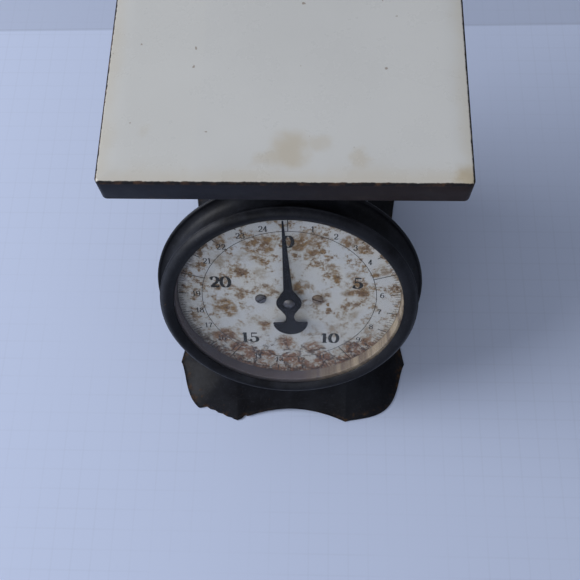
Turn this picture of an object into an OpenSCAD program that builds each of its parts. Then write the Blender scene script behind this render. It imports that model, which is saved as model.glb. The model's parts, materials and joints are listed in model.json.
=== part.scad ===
// Counter-top kitchen spring scale: enamelled platform over a black tower with a tilted round dial.
// Frame: +Z up, -Y is the side that the dial faces, X is symmetric. The origin is on the table, under
// the middle of the whole object.

/* [Platform] */
// Width of the weighing platform
platform_w = 174; // [140:1:214]
// Depth of the weighing platform
platform_d = 172; // [150:1:210]
// Height of the platform's top face above the table
platform_h = 215; // [210:1:260]
// Height of the platform's turned-down lip
platform_lip = 16; // [12:1:20]
// Sheet thickness of the platform
platform_t = 1.2; // [0.8:0.1:2]
// Outer corner radius of the platform
platform_r = 3; // [2:0.5:8]
// Thickness of the spider plate under the platform
spider_t = 3; // [2:0.5:4]
// Clearance between the spider's tabs and the platform's lip
pan_gap = 0.2; // [0.1:0.05:0.5]
// How far the platform sinks at full load
travel = 19.9; // [12:0.1:22]

/* [Base] */
// Width of the base over the side tips of its feet
base_w = 155; // [130:1:186]
// Depth of the base over the front and rear tips of its feet
base_d = 226; // [190:1:250]
// Height of the base skirt
base_h = 25; // [20:1:32]
// Sheet thickness of the base skirt
base_t = 1.6; // [1.2:0.1:2.4]
// Distance between the two front tips of the feet
tip_span = 73; // [60:1:86]
// Distance of the side tips behind the front tips
tip_inset = 40.5; // [34:0.5:46]
// How far each foot's lobe bulges beyond the line between its two tips
lobe_h = 13; // [8:0.5:16]
// Exponent of the lobe's curve; above 1 it is hollow beside the tips
lobe_p = 1.3; // [1:0.1:2]
// Exponent that moves the lobe's bulge towards its front or rear tip
lobe_skew = 0.92; // [0.8:0.02:1]
// How far each skirt edge curves in between two feet
arch_in = 8; // [4:0.5:12]
// How far each skirt edge is lifted off the table between two feet
arch_lift = 2.5; // [0:0.5:5]
// Exponent of the skirt's flare
flare = 1.7; // [1:0.1:3]
// Distance that the platform's front edge stands behind the front tips of the feet
reach = 64; // [50:1:80]

/* [Tower] */
// Width of the tower
tower_w = 86; // [84:1:104]
// Height of the tower's top above the table
tower_h = 182; // [178:1:184]
// Distance of the tower's rear wall behind the platform's middle
tower_back = 41; // [36:1:60]
// Sheet thickness of the tower
wall = 1; // [0.8:0.1:1.6]
// Radius of the tower's vertical edges
tower_r = 6; // [4:0.5:10]
// Width of the tower's turned-in lips
lip_w = 8; // [7:0.5:10]
// Thickness of the tower's top cap
cap_t = 1.5; // [1:0.1:2.5]

/* [Dial] */
// Tilt of the dial back from the vertical, in degrees
tilt = 25; // [15:1:30]
// Height of the dial's centre above the table
dial_z = 100; // [98:1:112]
// Distance of the dial's centre behind the front tips of the feet
dial_back = 51.5; // [46:0.5:58]
// Radius of the dial plate
dial_r = 65; // [55:0.5:65]
// Thickness of the dial plate
dial_t = 0.8; // [0.5:0.1:1.5]
// How much wider than the dial plate the bezel's opening is, on each side
bezel_over = 0.8; // [0:0.1:1.2]
// Height of the bezel's crest above the dial face
bezel_front = 11.3; // [10.5:0.1:13]
// How far the bezel's rolled outer edge stands out from the drum's wall
bezel_edge = 4; // [2:0.1:5]
// Height of the bezel's rolled outer edge above the dial face
bezel_edge_z = 8; // [7.5:0.1:9]
// Distance from the dial plate's edge to the outside of the drum's wall
drum_over = 5.1; // [5:0.1:7]
// Width of the drum's flared rear rim beyond its wall
rim_w = 7.5; // [5:0.1:9]
// Distance of the drum's back face behind the dial face
drum_back = 9; // [8:0.5:12]
// Sheet thickness of the drum
drum_t = 0.9; // [0.7:0.1:1.2]
// Thickness of the dial glass
glass_t = 2; // [1.5:0.1:3]
// Height of the glass's rear face above the dial face
glass_z = 6.4; // [6:0.1:7.5]
// Distance of each dial screw from the dial's centre
dial_screw_x = 16.6; // [13:0.1:18]
// Distance of the pointer's tip from the dial plate's edge
pointer_gap = 4; // [2:0.5:10]
// Angle of the resting pointer clockwise from the zero mark, in degrees
pointer_rest = -2.5; // [-6:0.5:6]
// Height of the pointer's rear face above the dial face
pointer_z = 3.4; // [2.5:0.1:4]

/* [Mechanism] */
// Module of the pinion and rack teeth
gear_module = 0.5; // [0.4:0.05:0.6]
// Number of teeth on the pinion
pinion_teeth = 12; // [10:1:14]
// Diameter of the pointer's arbor
arbor_d = 3; // [2:0.1:3]
// Diameter of the platform's stem
stem_d = 8; // [6:0.5:10]
// Radial clearance of the running fits
run_gap = 0.05; // [0.02:0.01:0.1]
// Distance of each spring's axis from the stem's axis
spring_x = 20.5; // [18:0.5:24]
// Mean diameter of each spring's coil
spring_d = 14; // [10:0.5:16]
// Wire diameter of the springs
wire_d = 2; // [1.6:0.1:2.2]
// Number of coil turns in each spring
spring_turns = 20; // [14:1:22]
// Width between the inner faces of the mechanism frame
frame_in_w = 60; // [58:1:74]
// Depth of the mechanism frame's strap
frame_d = 30; // [24:1:36]
// Thickness of the mechanism frame's strap
frame_t = 2.5; // [2:0.5:4]
// Height of the mechanism frame's lower bar above the table
frame_low = 40; // [38:1:46]
// Height of the yoke's lower face above the table
yoke_z = 98; // [96:1:104]
// Thickness of the yoke
yoke_t = 3; // [2:0.5:4]
// Distance of the zero screw behind the stem's axis
zero_back = 26; // [22:1:30]

/* [Hidden] */
$fn = 64;

black = [0.09, 0.09, 0.1];
steel = [0.62, 0.63, 0.66];
brass = [0.78, 0.62, 0.3];
cream = [0.93, 0.9, 0.82];

// Places along Y and Z that follow from the driving sizes
front_y = -(platform_d + reach) / 2;
plate_y = front_y + reach + platform_d / 2;
base_y = front_y + base_d / 2;
dial_y = front_y + dial_back;
rear_y = plate_y + tower_back;
cap_z = tower_h + cap_t;
bush_l = 8;
bush_wall = 2.5;
stem_r = stem_d / 2;
arbor_r = arbor_d / 2;
bezel_in_r = dial_r + bezel_over;
drum_r = dial_r + drum_over;
rim_r = drum_r + rim_w;
pointer_l = dial_r - pointer_gap;

// The tower's slanted front lies against the drum's back
function slant_y(z) = dial_y + drum_back / cos(tilt) + (z - dial_z) * tan(tilt);
tower_front_y = slant_y(base_h);

// Screw sizes that several nodes share
screw_r = 1.5;
screw_gap = 0.1;
head_r = 3;
head_h = 1.6;
slot_w = 0.8;
far = 400;

// The dial's own frame: z is the dial's outward normal and y points up the dial face
module on_dial(z = 0)
    translate([0, dial_y, dial_z]) rotate([90 - tilt, 0, 0]) translate([0, 0, z]) children();

module mirror_x() {
    children();
    mirror([1, 0, 0]) children();
}

// A prism with rounded upright edges, centred on the origin in plan
module round_block(w, d, h, r) {
    linear_extrude(h) {
        square([w - 2 * r, d], center = true);
        square([w, d - 2 * r], center = true);
        for (x = [-1, 1], y = [-1, 1])
            translate([x * (w / 2 - r), y * (d / 2 - r)]) circle(r);
    }
}

module ring(r_out, r_in, h)
    difference() {
        cylinder(h, r = r_out);
        translate([0, 0, -1]) cylinder(h + 2, r = r_in);
    }

// A slotted screw whose head stands on z = 0 and whose shank points down
module slotted_screw(length, r = screw_r, head = head_r, height = head_h) {
    difference() {
        union() {
            cylinder(height * 0.5, r = head);
            translate([0, 0, height * 0.5]) cylinder(height * 0.5, r1 = head, r2 = head * 0.7);
        }
        translate([0, 0, height]) cube([3 * head, slot_w, height], center = true);
    }
    translate([0, 0, -length]) cylinder(length, r = r);
}

module hex_nut(r_hole, across, h)
    difference() {
        cylinder(h, r = across / 2 / cos(30), $fn = 6);
        translate([0, 0, -1]) cylinder(h + 2, r = r_hole);
    }

// ---- Base skirt: a pressed sheet that flares from the tower's outline to four lobed feet ----

arc_n = 7;
lobe_n = 14;
skirt_n = 8;
front_tip = [tip_span / 2, -base_d / 2];
side_tip = [base_w / 2, -base_d / 2 + tip_inset];
tip_line = side_tip - front_tip;
tip_out = [tip_line[1], -tip_line[0]] / norm(tip_line);

// One quarter of the foot's outline, from the front's middle to the right side's middle
function arch(s) = arch_in * (1 - s * s);
function lobe(s) =
    front_tip + tip_line * s + tip_out * lobe_h * pow(max(0, sin(180 * pow(s, lobe_skew))), lobe_p);
function foot_quarter() = concat(
    [for (i = [0:arc_n - 1]) let (s = i / arc_n) [s * tip_span / 2, -base_d / 2 + arch(s), 1 - s]],
    [for (i = [0:lobe_n]) let (p = lobe(i / lobe_n)) [p[0], p[1], 0]],
    [for (i = [1:arc_n]) let (s = 1 - i / arc_n)
        [base_w / 2 - arch(s), (-base_d / 2 + tip_inset) * s, 1 - s]]);

// The same quarter on the tower's outline at the top of the skirt
top_x = tower_w / 2;
top_y0 = tower_front_y - base_y;
top_y1 = rear_y - base_y;
function top_quarter(y_end) =
    let (cx = top_x - tower_r, cy = y_end + tower_r)
    concat(
        [for (i = [0:arc_n - 1]) [cx * i / arc_n, y_end]],
        [for (i = [0:lobe_n]) let (a = -90 + 90 * i / lobe_n) [cx + tower_r * cos(a), cy + tower_r * sin(a)]],
        [for (i = [1:arc_n]) [top_x, cy + (0 - cy) * i / arc_n]]);

function reversed(list) = [for (i = [len(list) - 1:-1:0]) list[i]];
function flip_x(list) = [for (p = list) [-p[0], p[1], p[2]]];
function flip_y(list) = [for (p = list) [p[0], -p[1], p[2]]];
function inner_part(list) = [for (i = [1:len(list) - 2]) list[i]];

// A whole outline, counter-clockwise, from a front quarter and a rear quarter
function full_loop(front, rear) = concat(
    front, reversed(inner_part(flip_y(rear))), [flip_y(rear)[0]],
    inner_part(flip_x(flip_y(rear))), reversed(flip_x([for (i = [1:len(front) - 1]) front[i]])));

foot_loop = full_loop(foot_quarter(), foot_quarter());
top_loop = full_loop(top_quarter(top_y0), top_quarter(-top_y1));
loop_n = len(foot_loop);

// Moves a loop's points inward in plan by a distance
function shrunk(loop, by) = [for (i = [0:len(loop) - 1])
    let (a = loop[(i + len(loop) - 1) % len(loop)], b = loop[(i + 1) % len(loop)],
        d = [b[0] - a[0], b[1] - a[1]], n = [-d[1], d[0]] / norm(d))
    [loop[i][0] + n[0] * by, loop[i][1] + n[1] * by, loop[i][2]]];

// The skirt's section at a share t of its height
function skirt_ring(t, by, top_z) =
    let (s = 1 - pow(1 - t, flare), foot = shrunk(foot_loop, by), top = shrunk(top_loop, by))
    [for (i = [0:loop_n - 1])
        [foot[i][0] + (top[i][0] - foot[i][0]) * s, foot[i][1] + (top[i][1] - foot[i][1]) * s,
            arch_lift * foot_loop[i][2] * (1 - t) + top_z * t]];
function flat_ring(by, z) = [for (p = shrunk(top_loop, by)) [p[0], p[1], z]];

module loft(rings) {
    m = len(rings);
    n = len(rings[0]);
    polyhedron(
        points = [for (r = rings) each r],
        faces = [for (k = [0:m - 1], i = [0:n - 1], f = [0, 1])
            let (a = k * n + i, b = k * n + (i + 1) % n, c = ((k + 1) % m) * n + (i + 1) % n,
                d = ((k + 1) % m) * n + i)
            f == 0 ? [a, c, b] : [a, d, c]],
        convexity = 8);
}

module base_holes()
    for (x = [-1, 1], y = [tower_front_y + lip_w / 2 + wall, rear_y - lip_w / 2 - wall])
        translate([x * (tower_w / 2 - 2.2 * lip_w), y, 0]) children();

module base_skirt()
    color(black) difference() {
        translate([0, base_y, 0]) loft(concat(
            [for (i = [0:skirt_n]) skirt_ring(i / skirt_n, 0, base_h)],
            [flat_ring(lip_w + wall, base_h), flat_ring(lip_w + wall, base_h - base_t)],
            [for (i = [skirt_n:-1:0]) skirt_ring(i / skirt_n, base_t, base_h - base_t)]));
        base_holes() cylinder(far, r = screw_r + screw_gap);
    }

module base_screws()
    color(steel) base_holes() translate([0, 0, base_h - base_t]) mirror([0, 0, 1])
        slotted_screw(base_t + wall + 2.5);

// ---- Tower: a folded sheet with a slanted front and an opening in its rear ----

// The tower's outline, drawn in by a distance on the front, the sides and the rear
module tower_solid(by, z0, z1, edge_r)
    intersection() {
        on_dial(-drum_back - by - far / 2) rotate([-90, 0, 0]) translate([0, 0, -far])
            round_block(tower_w - 2 * by, far, 2 * far, edge_r);
        translate([0, rear_y - by - far / 2, z0]) round_block(tower_w - 2 * by, far, z1 - z0, edge_r);
    }

cover_lap = 8;
cover_low = base_h + 16;
cover_high = tower_h - 22;
cover_open_w = tower_w - 4 * tower_r - 6;

module tower_shell()
    color(black) difference() {
        tower_solid(0, base_h, tower_h, tower_r);
        tower_solid(wall, base_h + wall, tower_h - wall, tower_r - wall);
        // The lips around the bottom and the top openings
        tower_solid(wall + lip_w, base_h - 1, tower_h + 1, 2);
        on_dial(-drum_back - far / 2) cylinder(far, r = bush_r(arbor_r) + screw_gap);
        dial_screw_places() on_dial(-drum_back - 3) cylinder(far, r = screw_r + screw_gap);
        base_holes() translate([0, 0, base_h - 1]) cylinder(3, r = screw_r + screw_gap);
        cap_places() translate([0, 0, tower_h - 5]) cylinder(10, r = screw_r + screw_gap);
        translate([-cover_open_w / 2, rear_y - 5, cover_low]) cube([cover_open_w, 10, cover_high - cover_low]);
        cover_places() cylinder(10, r = screw_r + screw_gap, center = true);
    }

module cap_places()
    for (x = [-1, 1], y = [slant_y(tower_h) + lip_w / 2 + wall, rear_y - lip_w / 2 - wall])
        translate([x * (tower_w / 2 - lip_w / 2 - wall), y, 0]) children();

module cover_places()
    for (x = [-1, 1], z = [cover_low - cover_lap / 2, cover_high + cover_lap / 2])
        translate([x * (cover_open_w / 2 - 8), rear_y, z]) rotate([-90, 0, 0]) children();

zero_r = 2.5;

module top_cap()
    color(black) difference() {
        intersection() {
            tower_solid(0, base_h, tower_h + 20, tower_r);
            translate([0, 0, tower_h + cap_t / 2]) cube([far, far, cap_t], center = true);
        }
        translate([0, plate_y, tower_h - 5]) cylinder(20, r = bush_r(stem_r) + screw_gap);
        translate([0, plate_y + zero_back, tower_h - 5]) cylinder(20, r = zero_r + run_gap);
        cap_places() translate([0, 0, tower_h - 5]) cylinder(20, r = screw_r + screw_gap);
        frame_screw_places() translate([0, 0, tower_h - 5]) cylinder(20, r = screw_r + screw_gap);
    }

module cap_screws()
    color(steel) cap_places() translate([0, 0, cap_z]) slotted_screw(cap_t + wall + 2.5);

module back_cover()
    color(black) difference() {
        translate([0, rear_y + wall, (cover_low + cover_high) / 2]) rotate([90, 0, 0])
            round_block(cover_open_w + 2 * cover_lap, cover_high - cover_low + 2 * cover_lap, wall, 4);
        cover_places() cylinder(10, r = screw_r + screw_gap, center = true);
    }

module cover_screws()
    color(steel) cover_places() translate([0, 0, wall]) slotted_screw(2 * wall + 2.5);

// ---- Drum and dial ----

roll_r = 1;
bead_r = 0.7;
drum_front = glass_z + glass_t;
neck_z = -1;

module drum_shell()
    color(black) on_dial() difference() {
        rotate_extrude($fn = 128) {
            translate([0, -drum_back]) square([rim_r - roll_r, drum_t]);
            polygon([[rim_r - roll_r - 2 * drum_t, -drum_back], [rim_r - roll_r, -drum_back],
                [rim_r - roll_r, -drum_back + drum_t], [drum_r, neck_z], [drum_r, drum_front],
                [drum_r - drum_t, drum_front], [drum_r - drum_t, neck_z],
                [rim_r - roll_r - 2 * drum_t, -drum_back + drum_t]]);
            translate([rim_r - roll_r, -drum_back + roll_r]) circle(roll_r, $fn = 24);
        }
        translate([0, 0, -drum_back - 1]) cylinder(5, r = bush_r(arbor_r) + screw_gap);
        mirror_x() translate([dial_screw_x, 0, -drum_back - 1]) cylinder(5, r = screw_r + screw_gap);
    }

module bezel_ring()
    color(black) on_dial() rotate_extrude($fn = 128) {
        skirt_r = drum_r + 0.05;
        edge_r = drum_r + bezel_edge - bead_r;
        low_z = drum_front + 0.02;
        crest_r = drum_r + 0.2;
        polygon([[bezel_in_r, low_z], [skirt_r, low_z], [skirt_r, drum_front - 6], [skirt_r + drum_t, drum_front - 6],
            [skirt_r + drum_t, bezel_edge_z - bead_r], [edge_r, bezel_edge_z - bead_r],
            [edge_r + 0.4 * bead_r, bezel_edge_z + 0.9 * bead_r], [crest_r + 1.5, bezel_front - 0.8],
            [crest_r + 0.6, bezel_front - 0.15], [crest_r, bezel_front], [crest_r - 1, bezel_front - 0.2],
            [crest_r - 2.6, bezel_front - 1.1], [bezel_in_r + 0.3, low_z + drum_t], [bezel_in_r, low_z + 0.6]]);
        translate([edge_r, bezel_edge_z]) circle(bead_r, $fn = 24);
    }

module dial_glass()
    color([0.8, 0.88, 0.9, 0.35]) on_dial(glass_z) cylinder(glass_t, r = drum_r - drum_t - 0.4, $fn = 128);

module dial_liner()
    color(cream) on_dial() rotate_extrude($fn = 128) {
        liner_r = dial_r + 0.2;
        translate([liner_r, -dial_t]) square([drum_t, glass_z + dial_t]);
        translate([liner_r, glass_z - drum_t]) square([drum_r - drum_t - 0.1 - liner_r, drum_t]);
    }

module dial_plate()
    color(cream) on_dial(-dial_t) difference() {
        cylinder(dial_t, r = dial_r, $fn = 128);
        translate([0, 0, -1]) cylinder(dial_t + 2, r = arbor_r + 1.5);
        mirror_x() translate([dial_screw_x, 0, -1]) cylinder(dial_t + 2, r = screw_r + screw_gap);
    }

module dial_screw_places() mirror_x() translate([dial_screw_x, 0, 0]) children();

module dial_posts()
    color(brass) dial_screw_places() on_dial(-drum_back + drum_t)
        ring(4, screw_r + screw_gap, drum_back - drum_t - dial_t);

bracket_t = 2;
bracket_x = 20;
bracket_w = 14;
bracket_back = 66;

module dial_screws()
    color(steel) dial_screw_places() on_dial(0)
        slotted_screw(drum_back + wall + bracket_t + 1, head = 3.3);

// ---- Arbor bracket and bushes, inside the tower's front ----

function bush_r(shaft_r) = shaft_r + bush_wall;

// A flanged bush whose flange stands on z = 0 and whose body points down
module bush(shaft_r, length, flange_h = 1.5)
    difference() {
        union() {
            cylinder(flange_h, r = bush_r(shaft_r) + 2);
            translate([0, 0, -length]) cylinder(length, r = bush_r(shaft_r));
        }
        translate([0, 0, -length - 1]) cylinder(length + flange_h + 2, r = shaft_r + run_gap);
    }

module arbor_bracket()
    color(steel) on_dial(-drum_back - wall) difference() {
        leg_l = bracket_back - drum_back - wall;
        union() {
            mirror_x() {
                translate([bracket_x - 9, -bracket_w / 2, -bracket_t]) cube([9 + bracket_t, bracket_w, bracket_t]);
                translate([bracket_x, -bracket_w / 2, -leg_l]) cube([bracket_t, bracket_w, leg_l]);
            }
            translate([-bracket_x - bracket_t, -bracket_w / 2, -leg_l - bracket_t])
                cube([2 * (bracket_x + bracket_t), bracket_w, bracket_t]);
        }
        mirror_x() translate([dial_screw_x, 0, -5]) cylinder(10, r = screw_r + screw_gap);
        translate([0, 0, -leg_l - 5]) cylinder(10, r = bush_r(arbor_r) + screw_gap);
    }

module front_arbor_bush()
    color(brass) on_dial(-drum_back - wall) mirror([0, 0, 1]) bush(arbor_r, wall + drum_t + 1);

module rear_arbor_bush()
    color(brass) on_dial(-bracket_back) bush(arbor_r, bracket_t + 2);

// ---- Mechanism frame, stem bushes and spring hanger ----

frame_out_w = frame_in_w + 2 * frame_t;
pin_r = 1.5;
hanger_z = tower_h - 16;
hanger_t = 3;
pin_y = plate_y - frame_d / 2 + 5;
pin_z = hanger_z + hanger_t / 2;
knuckle_r = 3.4;

module frame_screw_places()
    mirror_x() translate([frame_in_w / 2 - 10, plate_y, 0]) children();

module mechanism_frame()
    color(steel) difference() {
        translate([-frame_out_w / 2, plate_y - frame_d / 2, frame_low])
            cube([frame_out_w, frame_d, tower_h - frame_low]);
        translate([-frame_in_w / 2, plate_y - frame_d, frame_low + frame_t])
            cube([frame_in_w, 2 * frame_d, tower_h - 2 * frame_t - frame_low]);
        translate([0, plate_y, tower_h - 10]) cylinder(20, r = bush_r(stem_r) + screw_gap);
        translate([0, plate_y, frame_low - 5]) cylinder(20, r = bush_r(stem_r) + screw_gap);
        frame_screw_places() translate([0, 0, tower_h - 10]) cylinder(20, r = screw_r + screw_gap);
        translate([0, pin_y, pin_z]) rotate([0, 90, 0]) cylinder(far, r = pin_r + run_gap, center = true);
    }

module frame_screws()
    color(steel) frame_screw_places() translate([0, 0, cap_z]) slotted_screw(cap_t + frame_t + 1);

module upper_stem_bush()
    color(brass) translate([0, plate_y, cap_z]) bush(stem_r, bush_l);

module lower_stem_bush()
    color(brass) translate([0, plate_y, frame_low + frame_t]) bush(stem_r, bush_l);

// The hanger tips on its pin when the zero screw lifts its rear tongue
module spring_hanger()
    color(steel) difference() {
        union() {
            translate([-frame_in_w / 2 + 1, pin_y, hanger_z]) cube([frame_in_w - 2, frame_d - 12, hanger_t]);
            translate([-9, pin_y, hanger_z]) cube([18, plate_y + zero_back + 7 - pin_y, hanger_t]);
            translate([-frame_in_w / 2 + 1, pin_y, pin_z]) rotate([0, 90, 0]) cylinder(frame_in_w - 2, r = knuckle_r);
        }
        translate([0, plate_y, hanger_z - 5]) cylinder(10, r = stem_r + 2);
        translate([0, plate_y + zero_back, hanger_z - 5]) cylinder(10, r = zero_r + run_gap);
        mirror_x() translate([spring_x, plate_y, hanger_z - 5]) cylinder(10, r = wire_d / 2 + 0.8);
        translate([0, pin_y, pin_z]) rotate([0, 90, 0]) cylinder(far, r = pin_r + run_gap, center = true);
    }

module hanger_pin()
    color(steel) translate([-frame_out_w / 2 - 1, pin_y, pin_z]) rotate([0, 90, 0])
        cylinder(frame_out_w + 2, r = pin_r);

// ---- Springs: a coil whose ends rise on its axis, pass through a hole and bend over ----

turn_n = 12;
wire_n = 6;
coil_gap = 7;
bend_l = 4;
coil_low = yoke_z + yoke_t + coil_gap;
coil_high = hanger_z - coil_gap;
hook_low = yoke_z - wire_d / 2 - 0.2;
hook_high = hanger_z + hanger_t + wire_d / 2 + 0.2;

spring_path = concat(
    [[0, bend_l, hook_low], [0, 1, hook_low], [0, 0, hook_low + 1], [0, 0, coil_low - 3], [1, 0, coil_low - 1.5]],
    [for (i = [0:spring_turns * turn_n]) let (a = 360 * i / turn_n, s = i / spring_turns / turn_n)
        [spring_d / 2 * cos(a), spring_d / 2 * sin(a), coil_low + (coil_high - coil_low) * s]],
    [[1, 0, coil_high + 1.5], [0, 0, coil_high + 3], [0, 0, hook_high - 1], [0, 1, hook_high], [0, bend_l, hook_high]]);

function unit(v) = v / norm(v);
function tangent(path, i) = unit(path[min(i + 1, len(path) - 1)] - path[max(i - 1, 0)]);
function side_list(path, i, side) =
    let (t = tangent(path, i), s = unit(side - (side * t) * t))
    i == len(path) - 1 ? [s] : concat([s], side_list(path, i + 1, s));

module swept_wire(path, r) {
    sides = side_list(path, 0, [1, 0, 0]);
    n = len(path);
    polyhedron(
        points = [for (i = [0:n - 1]) let (t = tangent(path, i), s = sides[i], b = cross(t, s))
            for (k = [0:wire_n - 1]) path[i] + r * (cos(360 * k / wire_n) * s + sin(360 * k / wire_n) * b)],
        faces = concat(
            [[for (k = [0:wire_n - 1]) k]],
            [for (i = [0:n - 2], k = [0:wire_n - 1], f = [0, 1])
                let (a = i * wire_n + k, b = i * wire_n + (k + 1) % wire_n)
                f == 0 ? [a, b + wire_n, b] : [a, a + wire_n, b + wire_n]],
            [[for (k = [wire_n - 1:-1:0]) (n - 1) * wire_n + k]]),
        convexity = 10);
}

module spring_at(side)
    translate([side * spring_x, plate_y, 0]) swept_wire(spring_path, wire_d / 2);

module left_spring() color(steel) spring_at(-1);

module right_spring() color(steel) spring_at(1);

// ---- Zero screw: a knurled brass thumb screw through the cap ----

knob_r = 7;
knob_h = 4;

module zero_screw()
    color(brass) translate([0, plate_y + zero_back, cap_z + 0.3]) {
        cylinder(0.7, r = knob_r - 2);
        translate([0, 0, 0.7]) difference() {
            cylinder(knob_h - 0.7, r = knob_r);
            for (a = [0:15:345]) rotate(a) translate([knob_r + 0.3, 0, -1]) cylinder(knob_h + 2, r = 0.6, $fn = 16);
            translate([0, 0, knob_h - 0.7]) cube([3 * knob_r, 1.2, 2], center = true);
        }
        translate([0, 0, hanger_z - 5 - cap_z]) cylinder(cap_z + 5 - hanger_z, r = zero_r);
    }

// ---- Platform and what moves with it ----

spider_z = platform_h - platform_t - spider_t;
strap_w = 14;
strap_y = platform_d / 2 - 34;
tab_h = platform_lip - platform_t - 2;
tab_t = 2;
flange_r = 15;
flange_t = 3;

module platform_pan()
    color("white") translate([0, plate_y, platform_h - platform_lip]) difference() {
        round_block(platform_w, platform_d, platform_lip, platform_r);
        translate([0, 0, -platform_t]) round_block(platform_w - 2 * platform_t, platform_d - 2 * platform_t,
            platform_lip, platform_r - platform_t);
        pan_screw_places() cylinder(10, r = screw_r + screw_gap, center = true);
    }

// Places on the platform's side lips, with z pointing outward
module pan_screw_places()
    for (x = [-1, 1], y = [-1, 1])
        translate([x * platform_w / 2, y * strap_y, platform_lip / 2 - 2]) rotate([0, x * 90, 0]) children();

module platform_spider()
    color(black) translate([0, plate_y, 0]) difference() {
        strap_l = platform_w - 2 * platform_t - 2 * pan_gap;
        union() {
            for (y = [-1, 1]) translate([-strap_l / 2, y * strap_y - strap_w / 2, spider_z])
                cube([strap_l, strap_w, spider_t]);
            translate([-strap_w / 2 - 3, -strap_y, spider_z]) cube([strap_w + 6, 2 * strap_y, spider_t]);
            translate([0, 0, spider_z]) cylinder(spider_t, r = flange_r + 4);
            for (x = [-1, 1], y = [-1, 1])
                translate([x * (strap_l - tab_t) / 2, y * strap_y, spider_z - tab_h / 2 + spider_t / 2])
                    cube([tab_t, strap_w, tab_h + spider_t - 2], center = true);
        }
        translate([0, 0, platform_h - platform_lip]) pan_screw_places()
            cylinder(10, r = screw_r + screw_gap, center = true);
        spider_screw_places() translate([0, 0, spider_z - 5]) cylinder(20, r = screw_r + screw_gap);
    }

module pan_screws()
    color(steel) translate([0, plate_y, platform_h - platform_lip]) pan_screw_places()
        slotted_screw(platform_t + pan_gap + tab_t + 0.5);

module spider_screw_places() for (a = [45:90:315]) rotate(a) translate([10.5, 0, 0]) children();

module spider_screws()
    color(steel) translate([0, plate_y, 0]) spider_screw_places() translate([0, 0, spider_z - flange_t])
        mirror([0, 0, 1]) slotted_screw(flange_t + spider_t - 0.3, head = 2.6);

stem_low = frame_low - 6;

module stem()
    color(steel) translate([0, plate_y, 0]) difference() {
        union() {
            translate([0, 0, stem_low]) cylinder(spider_z - stem_low, r = stem_r);
            translate([0, 0, spider_z - flange_t]) cylinder(flange_t, r = flange_r);
        }
        spider_screw_places() translate([0, 0, spider_z - 5]) cylinder(20, r = screw_r + screw_gap);
    }

yoke_w = frame_in_w - 0.8;
yoke_d = 24;
arm_x = 8.5;
arm_w = 8.5;
arm_t = 2.5;

module arm_screw_places()
    for (y = [-1, 1]) translate([arm_x + arm_w / 2, plate_y + y * (yoke_d / 2 - 4), 0]) children();

module spring_yoke()
    color(steel) difference() {
        translate([0, plate_y, yoke_z + yoke_t / 2]) cube([yoke_w, yoke_d, yoke_t], center = true);
        translate([0, plate_y, yoke_z - 5]) cylinder(20, r = stem_r + run_gap);
        mirror_x() translate([spring_x, plate_y, yoke_z - 5]) cylinder(20, r = wire_d / 2 + 0.8);
        arm_screw_places() translate([0, 0, yoke_z - 5]) cylinder(20, r = 1.25 + screw_gap);
    }

nut_w = 13;
nut_h = 5;

module yoke_nuts()
    color(steel) for (z = [yoke_z - nut_h, yoke_z + yoke_t]) translate([0, plate_y, z])
        hex_nut(stem_r + run_gap, nut_w, nut_h);

// ---- Rack and pinion ----

pitch_r = gear_module * pinion_teeth / 2;
addendum = 0.9 * gear_module;
dedendum = 1.25 * gear_module;
slide_n = travel * sin(tilt);
slide_u = travel * cos(tilt);
rack_t = 3;
rack_z = -46.5 - rack_t;
rack_back_x = 12;
rack_low = -6;
tab_low = 16;
rack_tab_t = 2;
pinion_z = rack_z - slide_n - 1.5;
pinion_l = slide_n + rack_t + 3;
tooth_play = 0.14;
tooth_pitch = PI * gear_module;

// Height up the dial face at which the arm's underside meets the rear face of its tab
function tab_u(z) = (z - dial_z - (rack_z - rack_tab_t) * sin(tilt)) / cos(tilt);
rack_top = tab_u(yoke_z + yoke_t) + 1;

module rack_screw_places()
    for (u = [tab_low + 2.2, rack_top - 2.8]) translate([rack_back_x - 3.2, u, 0]) children();

// A tooth's outline, with its root on y = 0 and pointing along +y
module tooth(root_w, tip_w, h)
    polygon([[-root_w / 2, -0.3], [root_w / 2, -0.3], [root_w / 2, 0], [tip_w / 2, h], [-tip_w / 2, h],
        [-root_w / 2, 0]]);

module rack()
    color(brass) on_dial(rack_z) difference() {
        root_x = pitch_r + dedendum;
        linear_extrude(rack_t) {
            translate([root_x, rack_low]) square([rack_back_x - root_x, rack_top - rack_low]);
            for (k = [ceil(rack_low / tooth_pitch):floor((slide_u + 3) / tooth_pitch)])
                translate([root_x, k * tooth_pitch]) rotate(90)
                    tooth(1.25 * tooth_pitch / 2 - tooth_play, 0.62 * tooth_pitch / 2 - tooth_play,
                        dedendum + addendum);
        }
        rack_screw_places() translate([0, 0, -5]) cylinder(20, r = 1.25 + screw_gap);
    }

arm_front_y = dial_y - rack_z * cos(tilt) + (rack_top - 4) * sin(tilt);

module rack_arm()
    color(steel) difference() {
        union() {
            // The plate's front end is cut off inside the slanted tab
            difference() {
                translate([arm_x, arm_front_y, yoke_z + yoke_t])
                    cube([arm_w, plate_y + yoke_d / 2 - arm_front_y, arm_t]);
                on_dial(rack_z - rack_tab_t / 2) translate([-far / 2, -far / 2, 0]) cube(far);
            }
            on_dial(rack_z - rack_tab_t) translate([pitch_r + 2.2, tab_low, 0])
                cube([arm_x + arm_w + 0.5 - pitch_r - 2.2, rack_top + 1.5 - tab_low, rack_tab_t]);
        }
        on_dial(rack_z) rack_screw_places() translate([0, 0, -10]) cylinder(20, r = 1.25 + screw_gap);
        arm_screw_places() translate([0, 0, yoke_z]) cylinder(20, r = 1.25 + screw_gap);
    }

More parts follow.
